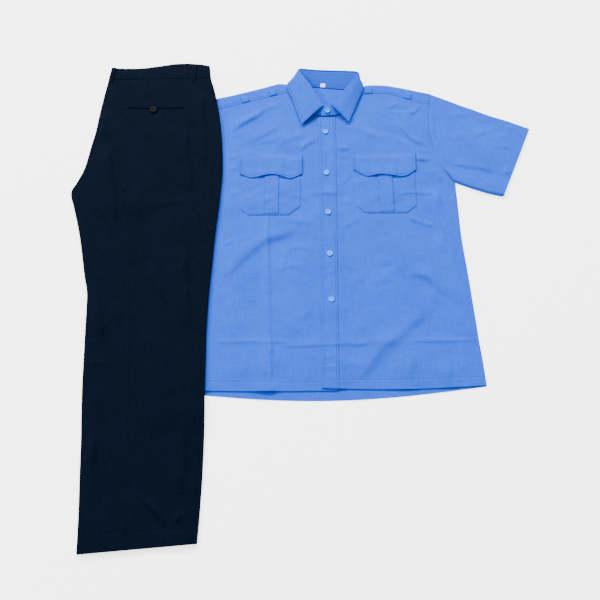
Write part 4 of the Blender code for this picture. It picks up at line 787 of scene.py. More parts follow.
sleeve_points, sleeve_rings, sleeve_length, sleeve_front = sleeve_grid(False, 2.8 * MM)
mirrored_points = sleeve_grid(True, 5.0 * MM)[0]
sleeve_left = lay_grid("shirt_sleeve_left", even_grid(sleeve_points, CLOTH), poplin, around=True)
sleeve_right = lay_grid("shirt_sleeve_right", even_grid(mirrored_points, CLOTH), poplin, around=True)
top_side = Grid(sleeve_points[:, :sleeve_front], sleeve_rings, np.linspace(0, 1, sleeve_front), CLOTH)
print("sleeve length, mm:", round(sleeve_length / MM), "grid:", sleeve_points.shape[:2])

# %% [markdown]
# The placket, the pockets and their box pleats lie on the fronts. Each is a grid of its own that
# reads the front's height and adds one seam gap, so it follows every crease under it, and its edges
# roll down to the cloth as sewn edges do.

# %% Placket, pockets and pleats
PLACKET_FOOT, PLACKET_TOP = -0.2362, 0.3998
PLACKET_LENGTH, PLACKET_WIDTH = PLACKET_TOP - PLACKET_FOOT, 0.0355
PLACKET_STITCH = 0.0045


def placket_grid():
    """Between the front's own edge and a nearly upright line, from the hem to the neck."""
    rows = places(PLACKET_LENGTH, 2.2 * MM, (HEM_LINE,))
    columns = places(PLACKET_WIDTH, 1.6 * MM, (PLACKET_STITCH, PLACKET_WIDTH - PLACKET_STITCH))
    y = (PLACKET_FOOT + PLACKET_LENGTH * rows)[:, None] - 0.0014 * columns * (1 - rows[:, None])
    edge = np.interp(y, LEFT_FRONT[:17, 1], LEFT_FRONT[:17, 0])
    x = edge + (0.0700 + 0.004 * y - edge) * columns
    across = columns * PLACKET_WIDTH
    other = PLACKET_WIDTH - across
    z = left_top(x, y) + ON_FRONT + rolled(across, 0.55 * MM) + rolled(other, 0.55 * MM)
    z = z + stitched(across, PLACKET_STITCH, y) + stitched(other, PLACKET_STITCH, y + 0.004)
    z = z + hem(rows[:, None] * PLACKET_LENGTH, HEM_LINE, x, 0.0)
    return Grid(xyz(x, y, z), rows, columns, TRIM_CLOTH)


placket_shape = placket_grid()
placket = lay_grid("shirt_placket", placket_shape, poplin)

Pocket = namedtuple("Pocket", "side left right top bottom clip_left clip_right pleat_left pleat_right")
POCKETS = [
    Pocket("right", -0.1400, -0.0085, 0.284, 0.150, 0.017, 0.026, -0.0890, -0.0570),
    Pocket("left", 0.1135, 0.2475, 0.286, 0.155, 0.020, 0.023, 0.1640, 0.1970),
]
POCKET_STITCH = 0.0016
PLEAT_STITCH = 0.0014
FRONT_TOPS = {"left": left_top, "right": shirt_top}


def pocket_grid(spec):
    """A pocket narrows to its clipped corners; its middle is a little full."""
    length, width = spec.top - spec.bottom, spec.right - spec.left
    rows = places(length, 1.7 * MM, (0.030, length - POCKET_STITCH))[:, None]
    columns = places(width, 1.7 * MM, (POCKET_STITCH, width - POCKET_STITCH))[None, :]
    y = spec.top - length * rows
    left = np.maximum(spec.left, spec.left + spec.clip_left - 1.2 * (y - spec.bottom))
    right = np.minimum(spec.right, spec.right - spec.clip_right + 1.2 * (y - spec.bottom))
    x = left + (right - left) * columns
    y = y + 0 * x
    edge = np.minimum(np.minimum(columns, 1 - columns) * (right - left), y - spec.bottom)
    full = 0.5 * MM * ease(edge / 0.020) + 0.25 * MM * ripples(x, y, 0.035, 23) * ease(edge / 0.012)
    z = FRONT_TOPS[spec.side](x, y) + ON_FRONT + full + rolled(edge, 0.9 * MM, 2.0 * MM)
    z = z + stitched(edge, POCKET_STITCH, x + y, 0.2 * MM, 0.2 * MM, 9 * MM)
    return Grid(xyz(x, y, z), rows[:, 0], columns[0], TRIM_CLOTH)


def pleat_grid(spec):
    """The box pleat stands one layer above the pocket, with two folded edges."""
    length, width = spec.top - spec.bottom - 0.0012, spec.pleat_right - spec.pleat_left
    rows = places(length, 2.0 * MM)[:, None]
    columns = places(width, 1.8 * MM)[None, :]
    x = spec.pleat_left + width * columns + 0.0006 * np.sin(40 * rows + 2)
    y = spec.top - length * rows + 0 * x
    edge = np.minimum(columns, 1 - columns) * width
    full = 0.5 * MM * past(y, spec.bottom, 0.020)
    z = FRONT_TOPS[spec.side](x, y) + ON_FRONT + full + TRIM_WALL + GAP
    z = z + 0.25 * MM * ripples(x, y, 0.035, 23) * past(y, spec.bottom, 0.012)
    z = z + rolled(edge, 0.8 * MM, 1.2 * MM) + rolled((1 - rows) * length, 1.9 * MM, 3.0 * MM)
    return Grid(xyz(x, y, z), rows[:, 0], columns[0], TRIM_CLOTH)


pocket_cloth, pleat_cloth, pocket_grids, pleat_grids = {}, {}, {}, {}
for spec in POCKETS:
    pocket_grids[spec.side], pleat_grids[spec.side] = pocket_grid(spec), pleat_grid(spec)
    pocket_cloth[spec.side] = lay_grid("shirt_pocket_" + spec.side, pocket_grids[spec.side], poplin)
    pleat_cloth[spec.side] = lay_grid("shirt_pleat_" + spec.side, pleat_grids[spec.side], poplin)
    print("pocket", spec.side, "wide, mm:", round((spec.right - spec.left) / MM))

# %% [markdown]
# A flap is two layers turned and pressed, so it is stiffer than a pocket. It is sewn down along its
# top edge, climbs over the pocket's mouth, and its scalloped lower edge stands off a little, which
# is why it throws a thin shadow. Its table gives the top edge, the lower edge and the lift.

# %% Flaps
# Columns, mm: x, y of the top edge, y of the lower edge. Last, the share of the full lift
FLAPS = {
    "right": metres([
        (-144, 297.5, 252, 0.3), (-132, 300, 245.5, 0.6), (-119, 302, 241, 0.8), (-104, 304.5, 243, 1),
        (-90, 306.2, 246.5, 1), (-75, 307, 249, 0.9), (-60, 306.2, 247.5, 0.95), (-45, 304.5, 242.5, 1),
        (-31, 303, 239, 0.8), (-18, 301.5, 244.5, 0.55), (-5, 300.5, 252.5, 0.3)], 1),
    "left": metres([
        (110.5, 302, 263, 0.3), (124.5, 303.5, 252.5, 0.6), (140, 304.8, 245, 0.85),
        (153, 305.6, 246.8, 1), (165, 306.2, 248.5, 0.95), (178, 306.8, 249, 0.85),
        (192, 307.3, 247.5, 0.9), (205, 307.7, 245.2, 1), (217, 308, 244, 0.95), (233, 308, 249, 0.6),
        (250, 307.8, 262.5, 0.3)], 1),
}
FLAP_LIFT = 1.6 * MM
FLAP_WIDTH, FLAP_DEPTH = 0.139, 0.055
FLAP_STITCH, EDGE_STITCH, FLAP_TOP_STITCH = 0.0055, 0.0012, 0.0015
FLAP_SEAT = GAP + TRIM_WALL / 2
FLAP_OVER = FLAP_SEAT + 2 * (TRIM_WALL + GAP) + 0.2 * MM


def flap_grid(side):
    """Columns across; down each, the height climbs to the pocket's layer and lifts with the square."""
    table = FLAPS[side]
    width = table[-1, 0] - table[0, 0]
    columns = places(width, 1.6 * MM, (FLAP_STITCH, width - FLAP_STITCH))
    spots = smooth(table, np.interp(table[0, 0] + width * columns, table[:, 0], np.arange(len(table))))
    x, top, bottom, lift = (column[None, :] for column in spots.T)
    rows = places(FLAP_DEPTH, 1.5 * MM, (FLAP_TOP_STITCH, FLAP_DEPTH - FLAP_STITCH))[:, None]
    y = top + (bottom - top) * rows
    x = x + 0 * y
    down, up = (top - y), (y - bottom)
    edge = np.minimum(np.minimum(columns * width, (1 - columns) * width)[None, :], up)
    rest = FRONT_TOPS[side](x, y) + SHIRT_WALL / 2
    spec = POCKETS[0] if side == "right" else POCKETS[1]
    past_pleat = np.maximum(spec.pleat_left - x, x - spec.pleat_right)
    over = FLAP_OVER - (TRIM_WALL + GAP - 0.2 * MM) * past(past_pleat, 0.003, 0.014)
    climb = FLAP_SEAT + (over - FLAP_SEAT) * ease(rows / 0.30)
    lift = lift * (1 - 0.6 * ease(past_pleat / 0.022))
    z = rest + climb + FLAP_LIFT * lift * rows ** 2 + rolled(edge, 0.35 * MM) + rolled(down, 0.5 * MM)
    z = z + stitched(edge, FLAP_STITCH, x + y, 0.35 * MM, 0.12 * MM, 9 * MM)
    z = z + stitched(down, FLAP_TOP_STITCH, x, 0.2 * MM) + 0.12 * MM * ripples(x, y, 0.028, 31)
    return Grid(xyz(x, y, z), rows[:, 0], columns, CLOTH)


flap_grids = {side: flap_grid(side) for side in FLAPS}
flap_cloth = {side: lay_grid("shirt_flap_" + side, grid, poplin) for side, grid in flap_grids.items()}
for side, grid in flap_grids.items():
    print("flap", side, "top z, mm:", round(grid.points[..., 2].max() / MM, 1))

# %% [markdown]
# The collar has two pieces. The stand rises from the neck seam, leans in and laps at the front,
# where it is buttoned. The fall turns over the stand's top edge and lies outside it, with a pointed
# leaf at each side. Both are swept round the neck: a table gives the seam, the fold and the outer
# edge at each station, and a curve joins the stations.

# %% Collar
# Columns, mm: the seam's point, the fold's, the outer edge's. Last, the share that hangs behind the neck
COLLAR = metres([
    (33, 405, 4.8, 44, 427, 14, -6, 379, 10, 0), (17, 410, 4.2, 35, 444, 15, -12, 398, 8.6, 0),
    (-1, 418, 4.1, 23.5, 464, 16, -19, 420, 7.8, 0), (-17, 433, 4.1, 12, 484, 16.5, -26.5, 445, 7.4, 0),
    (-30, 453, 4.1, 0, 502, 16.5, -35, 466, 7.2, 0), (-39, 474, 4.1, -9.5, 517, 16, -41.5, 486, 6.8, 0),
    (-31, 486.5, 3.4, -13, 524.5, 15.4, -31, 501.5, 4.8, 0.4),
    (-17, 487.5, 2.2, -7, 525, 15.2, -19, 499, 1.2, 0.9), (4, 486, 2.2, 14, 523, 14.5, 4, 496.5, 0.9, 1),
    (45, 482, 2.2, 50, 521, 14, 45, 493, 0.9, 1), (86, 478, 2.2, 94, 519.5, 14, 86, 489, 0.9, 1),
    (108, 478.5, 2.2, 117.5, 518, 14.5, 110, 490.5, 1.2, 1),
    (122, 479, 3.4, 127.5, 515, 15, 133.5, 495, 4.4, 0.4),
    (129, 468, 4.1, 122, 506, 15.8, 138, 481, 6.8, 0),
    (124, 450, 4.6, 112, 494, 16.2, 132.5, 463, 7.2, 0),
    (115, 433, 5.4, 99, 476, 16.4, 124.5, 443, 7.4, 0), (102, 419, 5.9, 85, 458, 16, 117, 423, 8, 0),
    (87, 410, 6.1, 72, 443, 15.2, 109, 403, 9, 0), (71, 404.5, 6.8, 60, 430, 14.6, 102, 385, 10.4, 0),
], 1)
# The stand's ends past the neck's front. Columns, mm: the seam's point and the upper edge's
STAND_UNDER = metres([
    (64, 408.5, 4.6, 60, 424.5, 8.2), (48, 407, 4.6, 53, 425, 8.8),
])
STAND_OVER = metres([
    (54, 403, 7.2, 54, 428.5, 11.2), (38, 403, 6.6, 44, 425, 10.6),
])
FALL_STITCH = 0.005
UP = np.array([0.0, 0.0, 1.0])


def normals_of(points):
    """Unit normals of a grid: the cross product of its two directions at every point."""
    across = np.gradient(points, axis=1)
    along = np.gradient(points, axis=0)
    normal = np.cross(across, along)
    return normal / np.maximum(np.linalg.norm(normal, axis=2, keepdims=True), 1e-12)


def edge_distance(points, ends=True):
    """Distance to the last column's edge, and with ends also to the first and last rows."""
    run = running(steps_of(points, 1), axis=1)
    distance = run[:, -1:] - run
    if ends:
        along = running(steps_of(points, 0))
        distance = np.minimum(distance, np.minimum(along, along[-1:] - along))
    return distance


def collar_grids():
    """Stand: seam to fold, slightly crowned. Fall: a curve through fold, roll, belly, foot and edge."""
    at = np.linspace(0, len(COLLAR) - 1, 250)
    near = np.concatenate([np.linspace(0, 0.45, 16), np.linspace(len(COLLAR) - 1.45, len(COLLAR) - 1, 16)])
    station = smooth(COLLAR, np.unique(np.concatenate([at, near])))
    seam, fold, edge = station[:, None, 0:3], station[:, None, 3:6], station[:, None, 6:9]
    hang = np.clip(station[:, 9], 0, 1)[:, None, None]
    leaf = [fold + (edge - fold) * share + UP * rise for share, rise in
            ((0.10, 0.0006), (0.40, 0.0018), (0.72, 0.0008))]
    behind = [fold + np.array([0, 0.0040, -0.0022]), fold + np.array([0, 0.0050, -0.0078]),
              fold * [1, 1, 0] + np.array([0, -0.0020, 0.0014])]
    mixed = [front * (1 - hang) + back_point * hang for front, back_point in zip(leaf, behind)]
    knots = [fold] + mixed + [edge]
    section = np.concatenate(knots, axis=1).transpose(1, 0, 2)
    fall = smooth(section, np.linspace(0, 4, 41)).transpose(1, 0, 2)
    distance = edge_distance(fall)
    wave = np.arange(len(fall))[:, None] * 0.9 * MM
    shape = stitched(distance, FALL_STITCH, wave, 0.3 * MM, 0.10 * MM, 10 * MM) + rolled(distance, 0.35 * MM)
    normal = normals_of(fall)
    normal = normal * np.where(normal[..., 2:].mean() < 0, -1, 1)
    fall = fall + normal * shape[..., None] * (1 - 0.8 * hang)
    down = (seam - fold) / np.linalg.norm(seam - fold, axis=2, keepdims=True)
    meet = fold + down * 0.8 * MM - UP * 0.9 * MM
    ends = [rows[:, None, :] for rows in (STAND_UNDER, STAND_OVER)]
    seated = seam - UP * 1.1 * MM * hang
    low = np.concatenate([ends[0][..., 0:3], seated[::6], ends[1][..., 0:3]])
    high = np.concatenate([ends[0][..., 3:6], meet[::6], ends[1][..., 3:6]])
    both = np.concatenate([low, high], axis=1)
    both = smooth(both, np.linspace(0, len(both) - 1, 420))
    t = np.linspace(0, 1, 17)[None, :, None]
    stand = both[:, :1] + (both[:, 1:] - both[:, :1]) * t + UP * 0.0005 * np.sin(np.pi * t)
    return stand, fall


stand_points, fall_points = collar_grids()
fall_shape = even_grid(fall_points, FALL_CLOTH)
stand = lay_grid("collar_stand", even_grid(stand_points, STAND_CLOTH), poplin)
fall = lay_grid("collar_fall", fall_shape, poplin)
print("collar top z, mm:", round(fall_points[..., 2].max() / MM, 1))

# %% [markdown]
# Trousers folded leg on leg are a stack of four layers of cloth, with only the top one showing.
# The three hidden ones are one closed solid whose edge is grooved into three rounded lips, as the
# edges of folded legs look from the side. The top leg lies on it and turns down at both long edges.

# %% Trouser heights
Leg = namedtuple("Leg", "x_left y_left x_right y_right seam_inset")
WAIST = Leg(-0.4540, 0.5350, -0.2230, 0.5420, 0.004)
LEGS = [Leg(*row) for row in metres([
    (-459, 498.5, -218, 503, 4), (-464, 472, -208, 470, 5), (-469, 435, -201, 436, 7),
    (-473.5, 398, -194.5, 400, 11), (-477.5, 360, -189.5, 362, 15), (-485, 317, -185.5, 318, 20),
    (-493, 269, -183, 268, 23), (-506, 233, -183.5, 233, 22), (-517.5, 205, -185, 205, 21),
    (-508, 170, -187, 172, 20), (-495, 126, -191, 126, 18), (-485, 86, -194, 86, 16),
    (-476.5, 46, -196, 46, 14), (-469, 9, -198.5, 9, 11), (-460, -29, -200.5, -29, 9),
    (-457, -70, -202, -70, 8), (-455, -120, -203, -120, 8), (-452.5, -173, -202, -173, 8),
    (-450, -228, -201, -228, 8), (-446, -285, -199, -283, 8), (-441, -345, -198, -340, 7),
    (-437, -410, -198, -401, 7), (-433.5, -460, -199.5, -453, 7), (-431, -505, -201, -495, 7),
    (-429, -554, -203, -535, 7),
])]
HIDDEN_TOP, HIDDEN_EDGE = 6.4 * MM, 5.2 * MM
SHIRT_RISE = 3.5 * MM
TROUSER_WALL = 1.4 * MM
EDGE_TUCK = 1.2 * MM
TROUSER_LIFT = GAP + TROUSER_WALL / 2
# The CAD model's own folds: the pressed crease in five lengths, then wide hollows
TROUSER_FOLDS = [
    (-432, 368, -403, 219, 6, 1.1, 1), (-403, 219, -381, 65, 6, 1.2, 1),
    (-381, 65, -367, -115, 5, 1.3, 1), (-367, -115, -357, -262, 5, 1.3, 1),
    (-357, -262, -342, -546, 5, 1.3, 1), (-452, 360, -432, 140, 16, -1.4, 4),
    (-450, 40, -422, -340, 14, -1.2, 4), (-263, 360, -255, 215, 12, -1.2, 3),
    (-346, 18, -288, -68, 12, -1.3, 4), (-338, -435, -270, -502, 14, -1.3, 4),
]
# The photo's sharper creases, from the waist dart down to the hem
LEG_FOLDS = [
    ([(-448, 337), (-453, 377), (-455, 422)], 12, 4.6),
    ([(-405, 100), (-413, 173), (-431, 273), (-441, 337)], 12, 5.8),
    ([(-407, -175), (-417, -104), (-431, -45), (-448, 23)], 16, 6.4),
    ([(-454, 46), (-446, 23), (-436, -9)], 9, 1.5),
    ([(-344, 33), (-328, 7), (-313, -29), (-289, -67)], 9, 4.4),
    ([(-334, 170), (-300, 175), (-247, 178)], 5, 1.2),
    ([(-239, 192), (-251, 255), (-260, 311), (-262, 379)], 10, 4.8),
    ([(-338, -434), (-317, -455), (-297, -470), (-279, -490), (-266, -506)], 8, 4.2),
    ([(-253, -506), (-237, -491), (-215, -479)], 8, 2.4),
    ([(-231, -464), (-231, -383), (-237, -301)], 13, 4.6),
    ([(-396, -482), (-408, -399), (-411, -301)], 14, 4.4),
    ([(-442, -187), (-420, -189), (-395, -198)], 7, 1.4),
    ([(-326, -191), (-313, -204), (-292, -212)], 8, 1.2),
    ([(-304, -183), (-313, -147), (-324, -104)], 12, 1.7),
    ([(-253, -51), (-243, -36), (-233, -18)], 8, 0.9),
    ([(-233, -115), (-240, -49), (-249, 37), (-247, 79)], 13, 4.5),
    ([(-286, -216), (-277, -237), (-260, -253)], 9, 1),
    ([(-364, 436), (-364, 466), (-366, 494)], 5, 1.4),
    ([(-220, 273), (-225, 377), (-233, 466)], 5, 2.8),
    ([(-351, 100), (-358, 161), (-359, 235)], 14, 3.4),
    ([(-330, 37), (-344, 65), (-359, 89)], 12, 1.2),
    ([(-346, 337), (-352, 363), (-361, 395)], 10, 1.7),
    ([(-406, -341), (-398, -364), (-402, -399)], 8, 0.8),
]


def trouser_base(x, y):
    """How far the trousers climb over the shirt: one rise for its body, one for its sleeve."""
    body = past(x, -0.345, 0.045) * past(y, -0.335, 0.050)
    arm = past(x, -0.485, 0.045) * past(y, 0.130, 0.050)
    return SHIRT_RISE * np.maximum(body, arm) * until(y, 0.545, 0.060)


def stack_height(x, y, share):
    """Top of the hidden layers: level in the middle, lower at both edges, with the folds."""
    crown = within(share, 0, 1, 0.10)
    folds = creases(x, y, TROUSER_FOLDS) + 0.22 * MM * ripples(x, y, 0.070, 3)
    return trouser_base(x, y) + HIDDEN_EDGE + (HIDDEN_TOP - HIDDEN_EDGE) * crown + crown * folds


def leg_height(x, y, share):
    """Middle of the leg's cloth: the stack, one seam gap and half a wall up, with the sharp creases."""
    crown = within(share, 0, 1, 0.06)
    return stack_height(x, y, share) + TROUSER_LIFT + crown * folded(x, y, LEG_FOLDS)


def hem_lift(x, y):
    """The top leg's hem stands off the lower leg towards its outer corner."""
    return 2.2 * MM * past(x, -0.275, 0.055) * until(y, -0.490, 0.040)


def turned_down(distance, radius=3.0 * MM, drop=1.3 * MM):
    """A folded edge: a quarter round, minus the drop times 1 less the root of 1 less t squared."""
    t = np.clip(1 - distance / radius, 0, 1)
    return -drop * (1 - np.sqrt(1 - t * t))


def waist_wave(share):
    """The waist edge's slow wave along the body."""
    return 2.0 * MM * np.sin(np.pi * share) - 5.5 * MM * np.sin(2 * np.pi * share)


# %% [markdown]
# The stack itself is a ring of profiles round the outline, closed by a top and an under side. The
# profile goes in at each gap between two layers: the inset is a high power of a cosine. The layers
# also slide a little out of line with each other along the edge, as folded cloth does.

# %% Hidden layers
STACK_DROP = 1.0 * MM  # the drawn stack stays this far under the top leg


def stack_solid(rows_wanted, columns_wanted):
    """Closed mesh: top grid, under grid, and rings of the lipped profile between their outlines."""
    table = np.array([WAIST] + LEGS)
    lines = smooth(table, np.linspace(0, len(table) - 1, rows_wanted))
    share = np.linspace(0, 1, columns_wanted)[None, :]
    x = lines[:, 0:1] + (lines[:, 2:3] - lines[:, 0:1]) * share
    y = lines[:, 1:2] + (lines[:, 3:4] - lines[:, 1:2]) * share
    y[0] += waist_wave(share[0])
    share = share + 0 * x
    numbers = np.arange(x.size).reshape(x.shape)
    loop = np.concatenate([numbers[0, :-1], numbers[:-1, -1], numbers[-1, :0:-1], numbers[:0:-1, 0]])
    outline = np.stack([x.ravel()[loop], y.ravel()[loop]], axis=1)
    tangent = np.roll(outline, -1, axis=0) - np.roll(outline, 1, axis=0)
    tangent /= np.linalg.norm(tangent, axis=1, keepdims=True)
    inward = np.stack([tangent[:, 1], -tangent[:, 0]], axis=1)
    run = run_length(outline)
    up = np.linspace(0, 1, 25)
    lip = np.minimum((up * 3).astype(int), 2)
    slide = 0.5 * MM * (1 + np.sin(run[:, None] / 0.083 + 2.1 * lip[None, :]))
    inset = 0.3 * MM + 1.7 * MM * np.abs(np.cos(3 * np.pi * up)) ** 6 + slide
    ring_xy = outline[:, None, :] + inward[:, None, :] * inset[..., None]
    base = trouser_base(ring_xy[..., 0], ring_xy[..., 1])
    ring_z = base + (HIDDEN_EDGE - STACK_DROP) * up
    rings = np.concatenate([ring_xy, ring_z[..., None]], axis=2)
    top = np.stack([x, y, stack_height(x, y, share) - STACK_DROP], axis=-1).reshape(-1, 3)
    under = np.stack([x, y, trouser_base(x, y)], axis=-1).reshape(-1, 3)
    top[loop], under[loop] = rings[:, -1], rings[:, 0]
    between = rings[:, 1:-1].transpose(1, 0, 2).reshape(-1, 3)
    points = np.concatenate([top, under, between])
    grid = np.stack([numbers[:-1, :-1], numbers[1:, :-1], numbers[1:, 1:], numbers[:-1, 1:]], axis=-1)
    grid = grid.reshape(-1, 4)
    count = len(loop)
    middle = 2 * x.size + np.arange((len(up) - 2) * count).reshape(-1, count)
    levels = np.concatenate([[loop + x.size], middle, [loop]])
    after = np.roll(levels, -1, axis=1)
    wall = np.stack([levels[:-1], levels[1:], after[1:], after[:-1]], axis=-1).reshape(-1, 4)
    flat = points[:, :2].copy()
    flat[:, 0] += points[:, 2]
    faces = np.concatenate([grid, grid[:, ::-1] + x.size, wall]).tolist()
    return mesh_of("trousers_hidden_layers_cloth", points, faces, flat)


stack = finish_piece(stack_solid(185, 20), twill, stands_for="trousers_hidden_layers")
print("stack faces:", len(stack.data.polygons))

# %% [markdown]
# The right back panel is the leg that shows, from waist seam to hem. A narrow strip of the right
# front lies past the side seam, because the leg's front wraps round the fold. Both read the same
# heights, and the seam between them is the groove where their edges roll down.

# %% Leg panels
LEG_HEM = 0.030
LEG_WIDTH, STRIP_WIDTH = 0.265, 0.014  # about the mean widths, which space the columns


def leg_grid(from_seam, spacing):
    """Rows down the leg, columns over the panel, or over the strip past the side seam."""
    rows, _, lines, length = cross_lines(np.array(LEGS), 900, spacing, -LEG_HEM)
    x_left, y_left, x_right, y_right, inset = (column[:, None] for column in lines.T)
    width = x_right - x_left
    seam = 1 - inset / width
    if from_seam:
        columns = places(STRIP_WIDTH, 1.2 * MM)[None, :]
        share = seam + 0.0002 / width + (1 - seam - 0.0002 / width) * columns
    else:
        columns = places(LEG_WIDTH, spacing, (LEG_WIDTH - SIDE_STITCH,))[None, :]
        share = seam * columns
    x = x_left + width * share
    y = y_left + (y_right - y_left) * share
    along = rows[:, None] * length
    to_hem = length - along
    seam_gap = np.abs(seam - share) * width
    z = leg_height(x, y, share) + hem_lift(x, y)
    z = z + rolled(seam_gap, 0.5 * MM, 1.2 * MM) + rolled(along, 0.5 * MM, 1.2 * MM)
    z = z + rolled(to_hem, 0.4 * MM)
    z = z + turned_down(share * width) + turned_down((1 - share) * width)
    dimples = 0.5 + 0.5 * np.sin(2 * np.pi * x / (9 * MM))
    z = z - 0.30 * MM * dimples * bell(to_hem - LEG_HEM, 1.6 * MM)
    z = z + 0.2 * MM * until(to_hem, LEG_HEM, 0.002)
    z = z + 0.10 * MM * np.sin(2 * np.pi * along / (13 * MM)) * bell(seam_gap, 4 * MM)
    x = x_left + EDGE_TUCK + (width - 2 * EDGE_TUCK) * share
    return Grid(xyz(x, y, z), rows, columns[0], TWILL_CLOTH)


leg = leg_grid(False, 3.2 * MM)
leg_back = lay_grid("trousers_right_back", leg, twill)
leg_front = lay_grid("trousers_right_front", leg_grid(True, 4.0 * MM), twill)
print("leg panel area, m2:", round(area_of(leg), 4), "grid:", leg.points.shape[:2])

# %% [markdown]
# The waistband is a stiffened strip with a rounded top edge and a sharp seam below. Two belt loops
# are stitched over it. The back pocket is double welted: two narrow lips, one button under them and
# a bar tack at each end.

# %% Waistband, belt loops and welts
BAND_WIDTH, BAND_DEPTH = 0.231, 0.037


def waistband_grid():
    """Straight from the waist seam to the waist's top edge, crowned, with both long edges rolled."""
    share = places(BAND_WIDTH, 1.6 * MM)[None, :]
    up = places(BAND_DEPTH, 1.3 * MM)[:, None]
    seam, top = LEGS[0], WAIST
    x_low = seam.x_left + (seam.x_right - seam.x_left) * share
    y_low = seam.y_left + (seam.y_right - seam.y_left) * share + GAP
    x_high = top.x_left + (top.x_right - top.x_left) * share
    y_high = top.y_left + (top.y_right - top.y_left) * share + waist_wave(share)
    x = x_low + (x_high - x_low) * up
    y = y_low + (y_high - y_low) * up
    level = stack_height(x_low, y_low, share) * (1 - up) + stack_height(x_high, y_high, share) * up
    z = level + TROUSER_LIFT + 0.6 * MM * np.sin(np.pi * up) ** 0.5
    z = z + rolled(up * BAND_DEPTH, 0.6 * MM, 1.2 * MM) + rolled((1 - up) * BAND_DEPTH, 0.9 * MM, 1.4 * MM)
    z = z + turned_down(share * BAND_WIDTH) + turned_down((1 - share) * BAND_WIDTH)
    x = x[:, :1] + EDGE_TUCK + (x[:, -1:] - x[:, :1] - 2 * EDGE_TUCK) * share
    z = z + 0.15 * MM * ripples(x, y, 0.030, 5)
    return even_grid(xyz(x, y, z), BAND_CLOTH)


band = waistband_grid()
waistband = lay_grid("trousers_waistband", band, twill)


def leg_top(x, y):
    """Height of the leg panel's middle anywhere on it, from its share across the leg."""
    table = np.array(LEGS)
    x_left = np.interp(-y, -table[:, 1], table[:, 0])
    x_right = np.interp(-y, -table[:, 3], table[:, 2])
    return leg_height(x, y, (x - x_left) / (x_right - x_left))


WELT_CENTRE, WELT_LENGTH, WELT_HEIGHT = (-0.344, 0.424), 0.134, 3.0 * MM
ON_LEG = TROUSER_WALL / 2 + GAP + TRIM_WALL / 2
for name, side in (("upper", 1), ("lower", -1)):
    u = np.linspace(-0.5, 0.5, 90)[None, :]
    v = np.linspace(0, 1, 9)[:, None]
    x = WELT_CENTRE[0] + WELT_LENGTH * u + 0 * v
    y = WELT_CENTRE[1] + side * (0.1 * MM + WELT_HEIGHT * v) - 0.8 * MM * np.cos(np.pi * u)
    z = leg_top(x, y) + ON_LEG + 0.3 * MM * np.sin(np.pi * v) - 0.3 * MM
    z = z - 0.5 * MM * bell(0.5 - np.abs(u), 0.01)
    lay_grid("back_pocket_welt_" + name, even_grid(xyz(x, y, z), TRIM_CLOTH), twill)

LOOP_LONG, LOOP_WIDE = 0.052, 0.0098
BELT_LOOPS = {"side_back": (-0.2610, 0.4860, -0.2590, 0.5405),
              "centre_back": (-0.4546, 0.4840, -0.4480, 0.5335)}
belt_loops, loop_grids = [], {}
for name, (foot_x, foot_y, head_x, head_y) in BELT_LOOPS.items():
    low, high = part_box("belt_loop_" + name)
    t = places(LOOP_LONG, 1.6 * MM)[:, None]
    u = np.linspace(-0.5, 0.5, 11)[None, :]
    x = foot_x + (head_x - foot_x) * t + LOOP_WIDE * u
    y = foot_y + (head_y - foot_y) * t + 0 * u
    arch = 1.2 * MM * np.sin(np.pi * np.clip((t - 0.08) / 0.84, 0, 1)) ** 0.6
    edge = (0.5 - np.abs(u)) * LOOP_WIDE
    ends = np.minimum(t, 1 - t) * LOOP_LONG
    z = high[2] - 1.6 * MM + arch + rolled(edge, 0.35 * MM) + rolled(ends, 0.5 * MM)
    loop_grids[name] = even_grid(xyz(x, y, z), TWILL_CLOTH)
    belt_loops.append(lay_grid("belt_loop_" + name, loop_grids[name], twill))

# %% [markdown]
# Shoulder loops are small tabs of doubled shirt cloth, stitched flat to the yoke. They lie between
# the shoulder fold and the front seam, two on each side, and each is turned to lie along its shoulder.
# The size label is a bare strip of tape on the inside of the collar stand, behind the neck.

# %% Shoulder loops and size label
LOOP_WIDTH, LOOP_LENGTH, TAB_STITCH = 18.5 * MM, 17.0 * MM, 1.8 * MM
SHOULDER_LOOPS = {"outer_right": (-0.1378, 0.4498, 16.0), "inner_right": (-0.0735, 0.4690, 16.0),
                  "inner_left": (0.1495, 0.4745, -4.0), "outer_left": (0.2405, 0.4600, -17.0)}
tabs, tab_grids = [], {}
for name, (centre_x, centre_y, turn) in SHOULDER_LOOPS.items():
    u = (places(LOOP_WIDTH, 1.0 * MM, (TAB_STITCH, LOOP_WIDTH - TAB_STITCH)) - 0.5)[None, :] * LOOP_WIDTH
    v = (places(LOOP_LENGTH, 1.0 * MM) - 0.5)[:, None] * LOOP_LENGTH
    cos, sin = np.cos(np.radians(turn)), np.sin(np.radians(turn))
    x = centre_x + u * cos - v * sin
    y = centre_y + u * sin + v * cos
    side = LOOP_WIDTH / 2 - np.abs(u)
    end = LOOP_LENGTH / 2 - np.abs(v)
    z = FRONT_MID + ON_FRONT + 0.6 * MM * ease(end / 0.004) + rolled(end, 0.6 * MM) + rolled(side, 0.4 * MM)
    z = z + stitched(side, TAB_STITCH, v, 0.3 * MM, 0.05 * MM)
    tab_grids[name] = even_grid(xyz(x, y, z), TRIM_CLOTH)
    tabs.append(lay_grid("shoulder_loop_" + name, tab_grids[name], poplin))


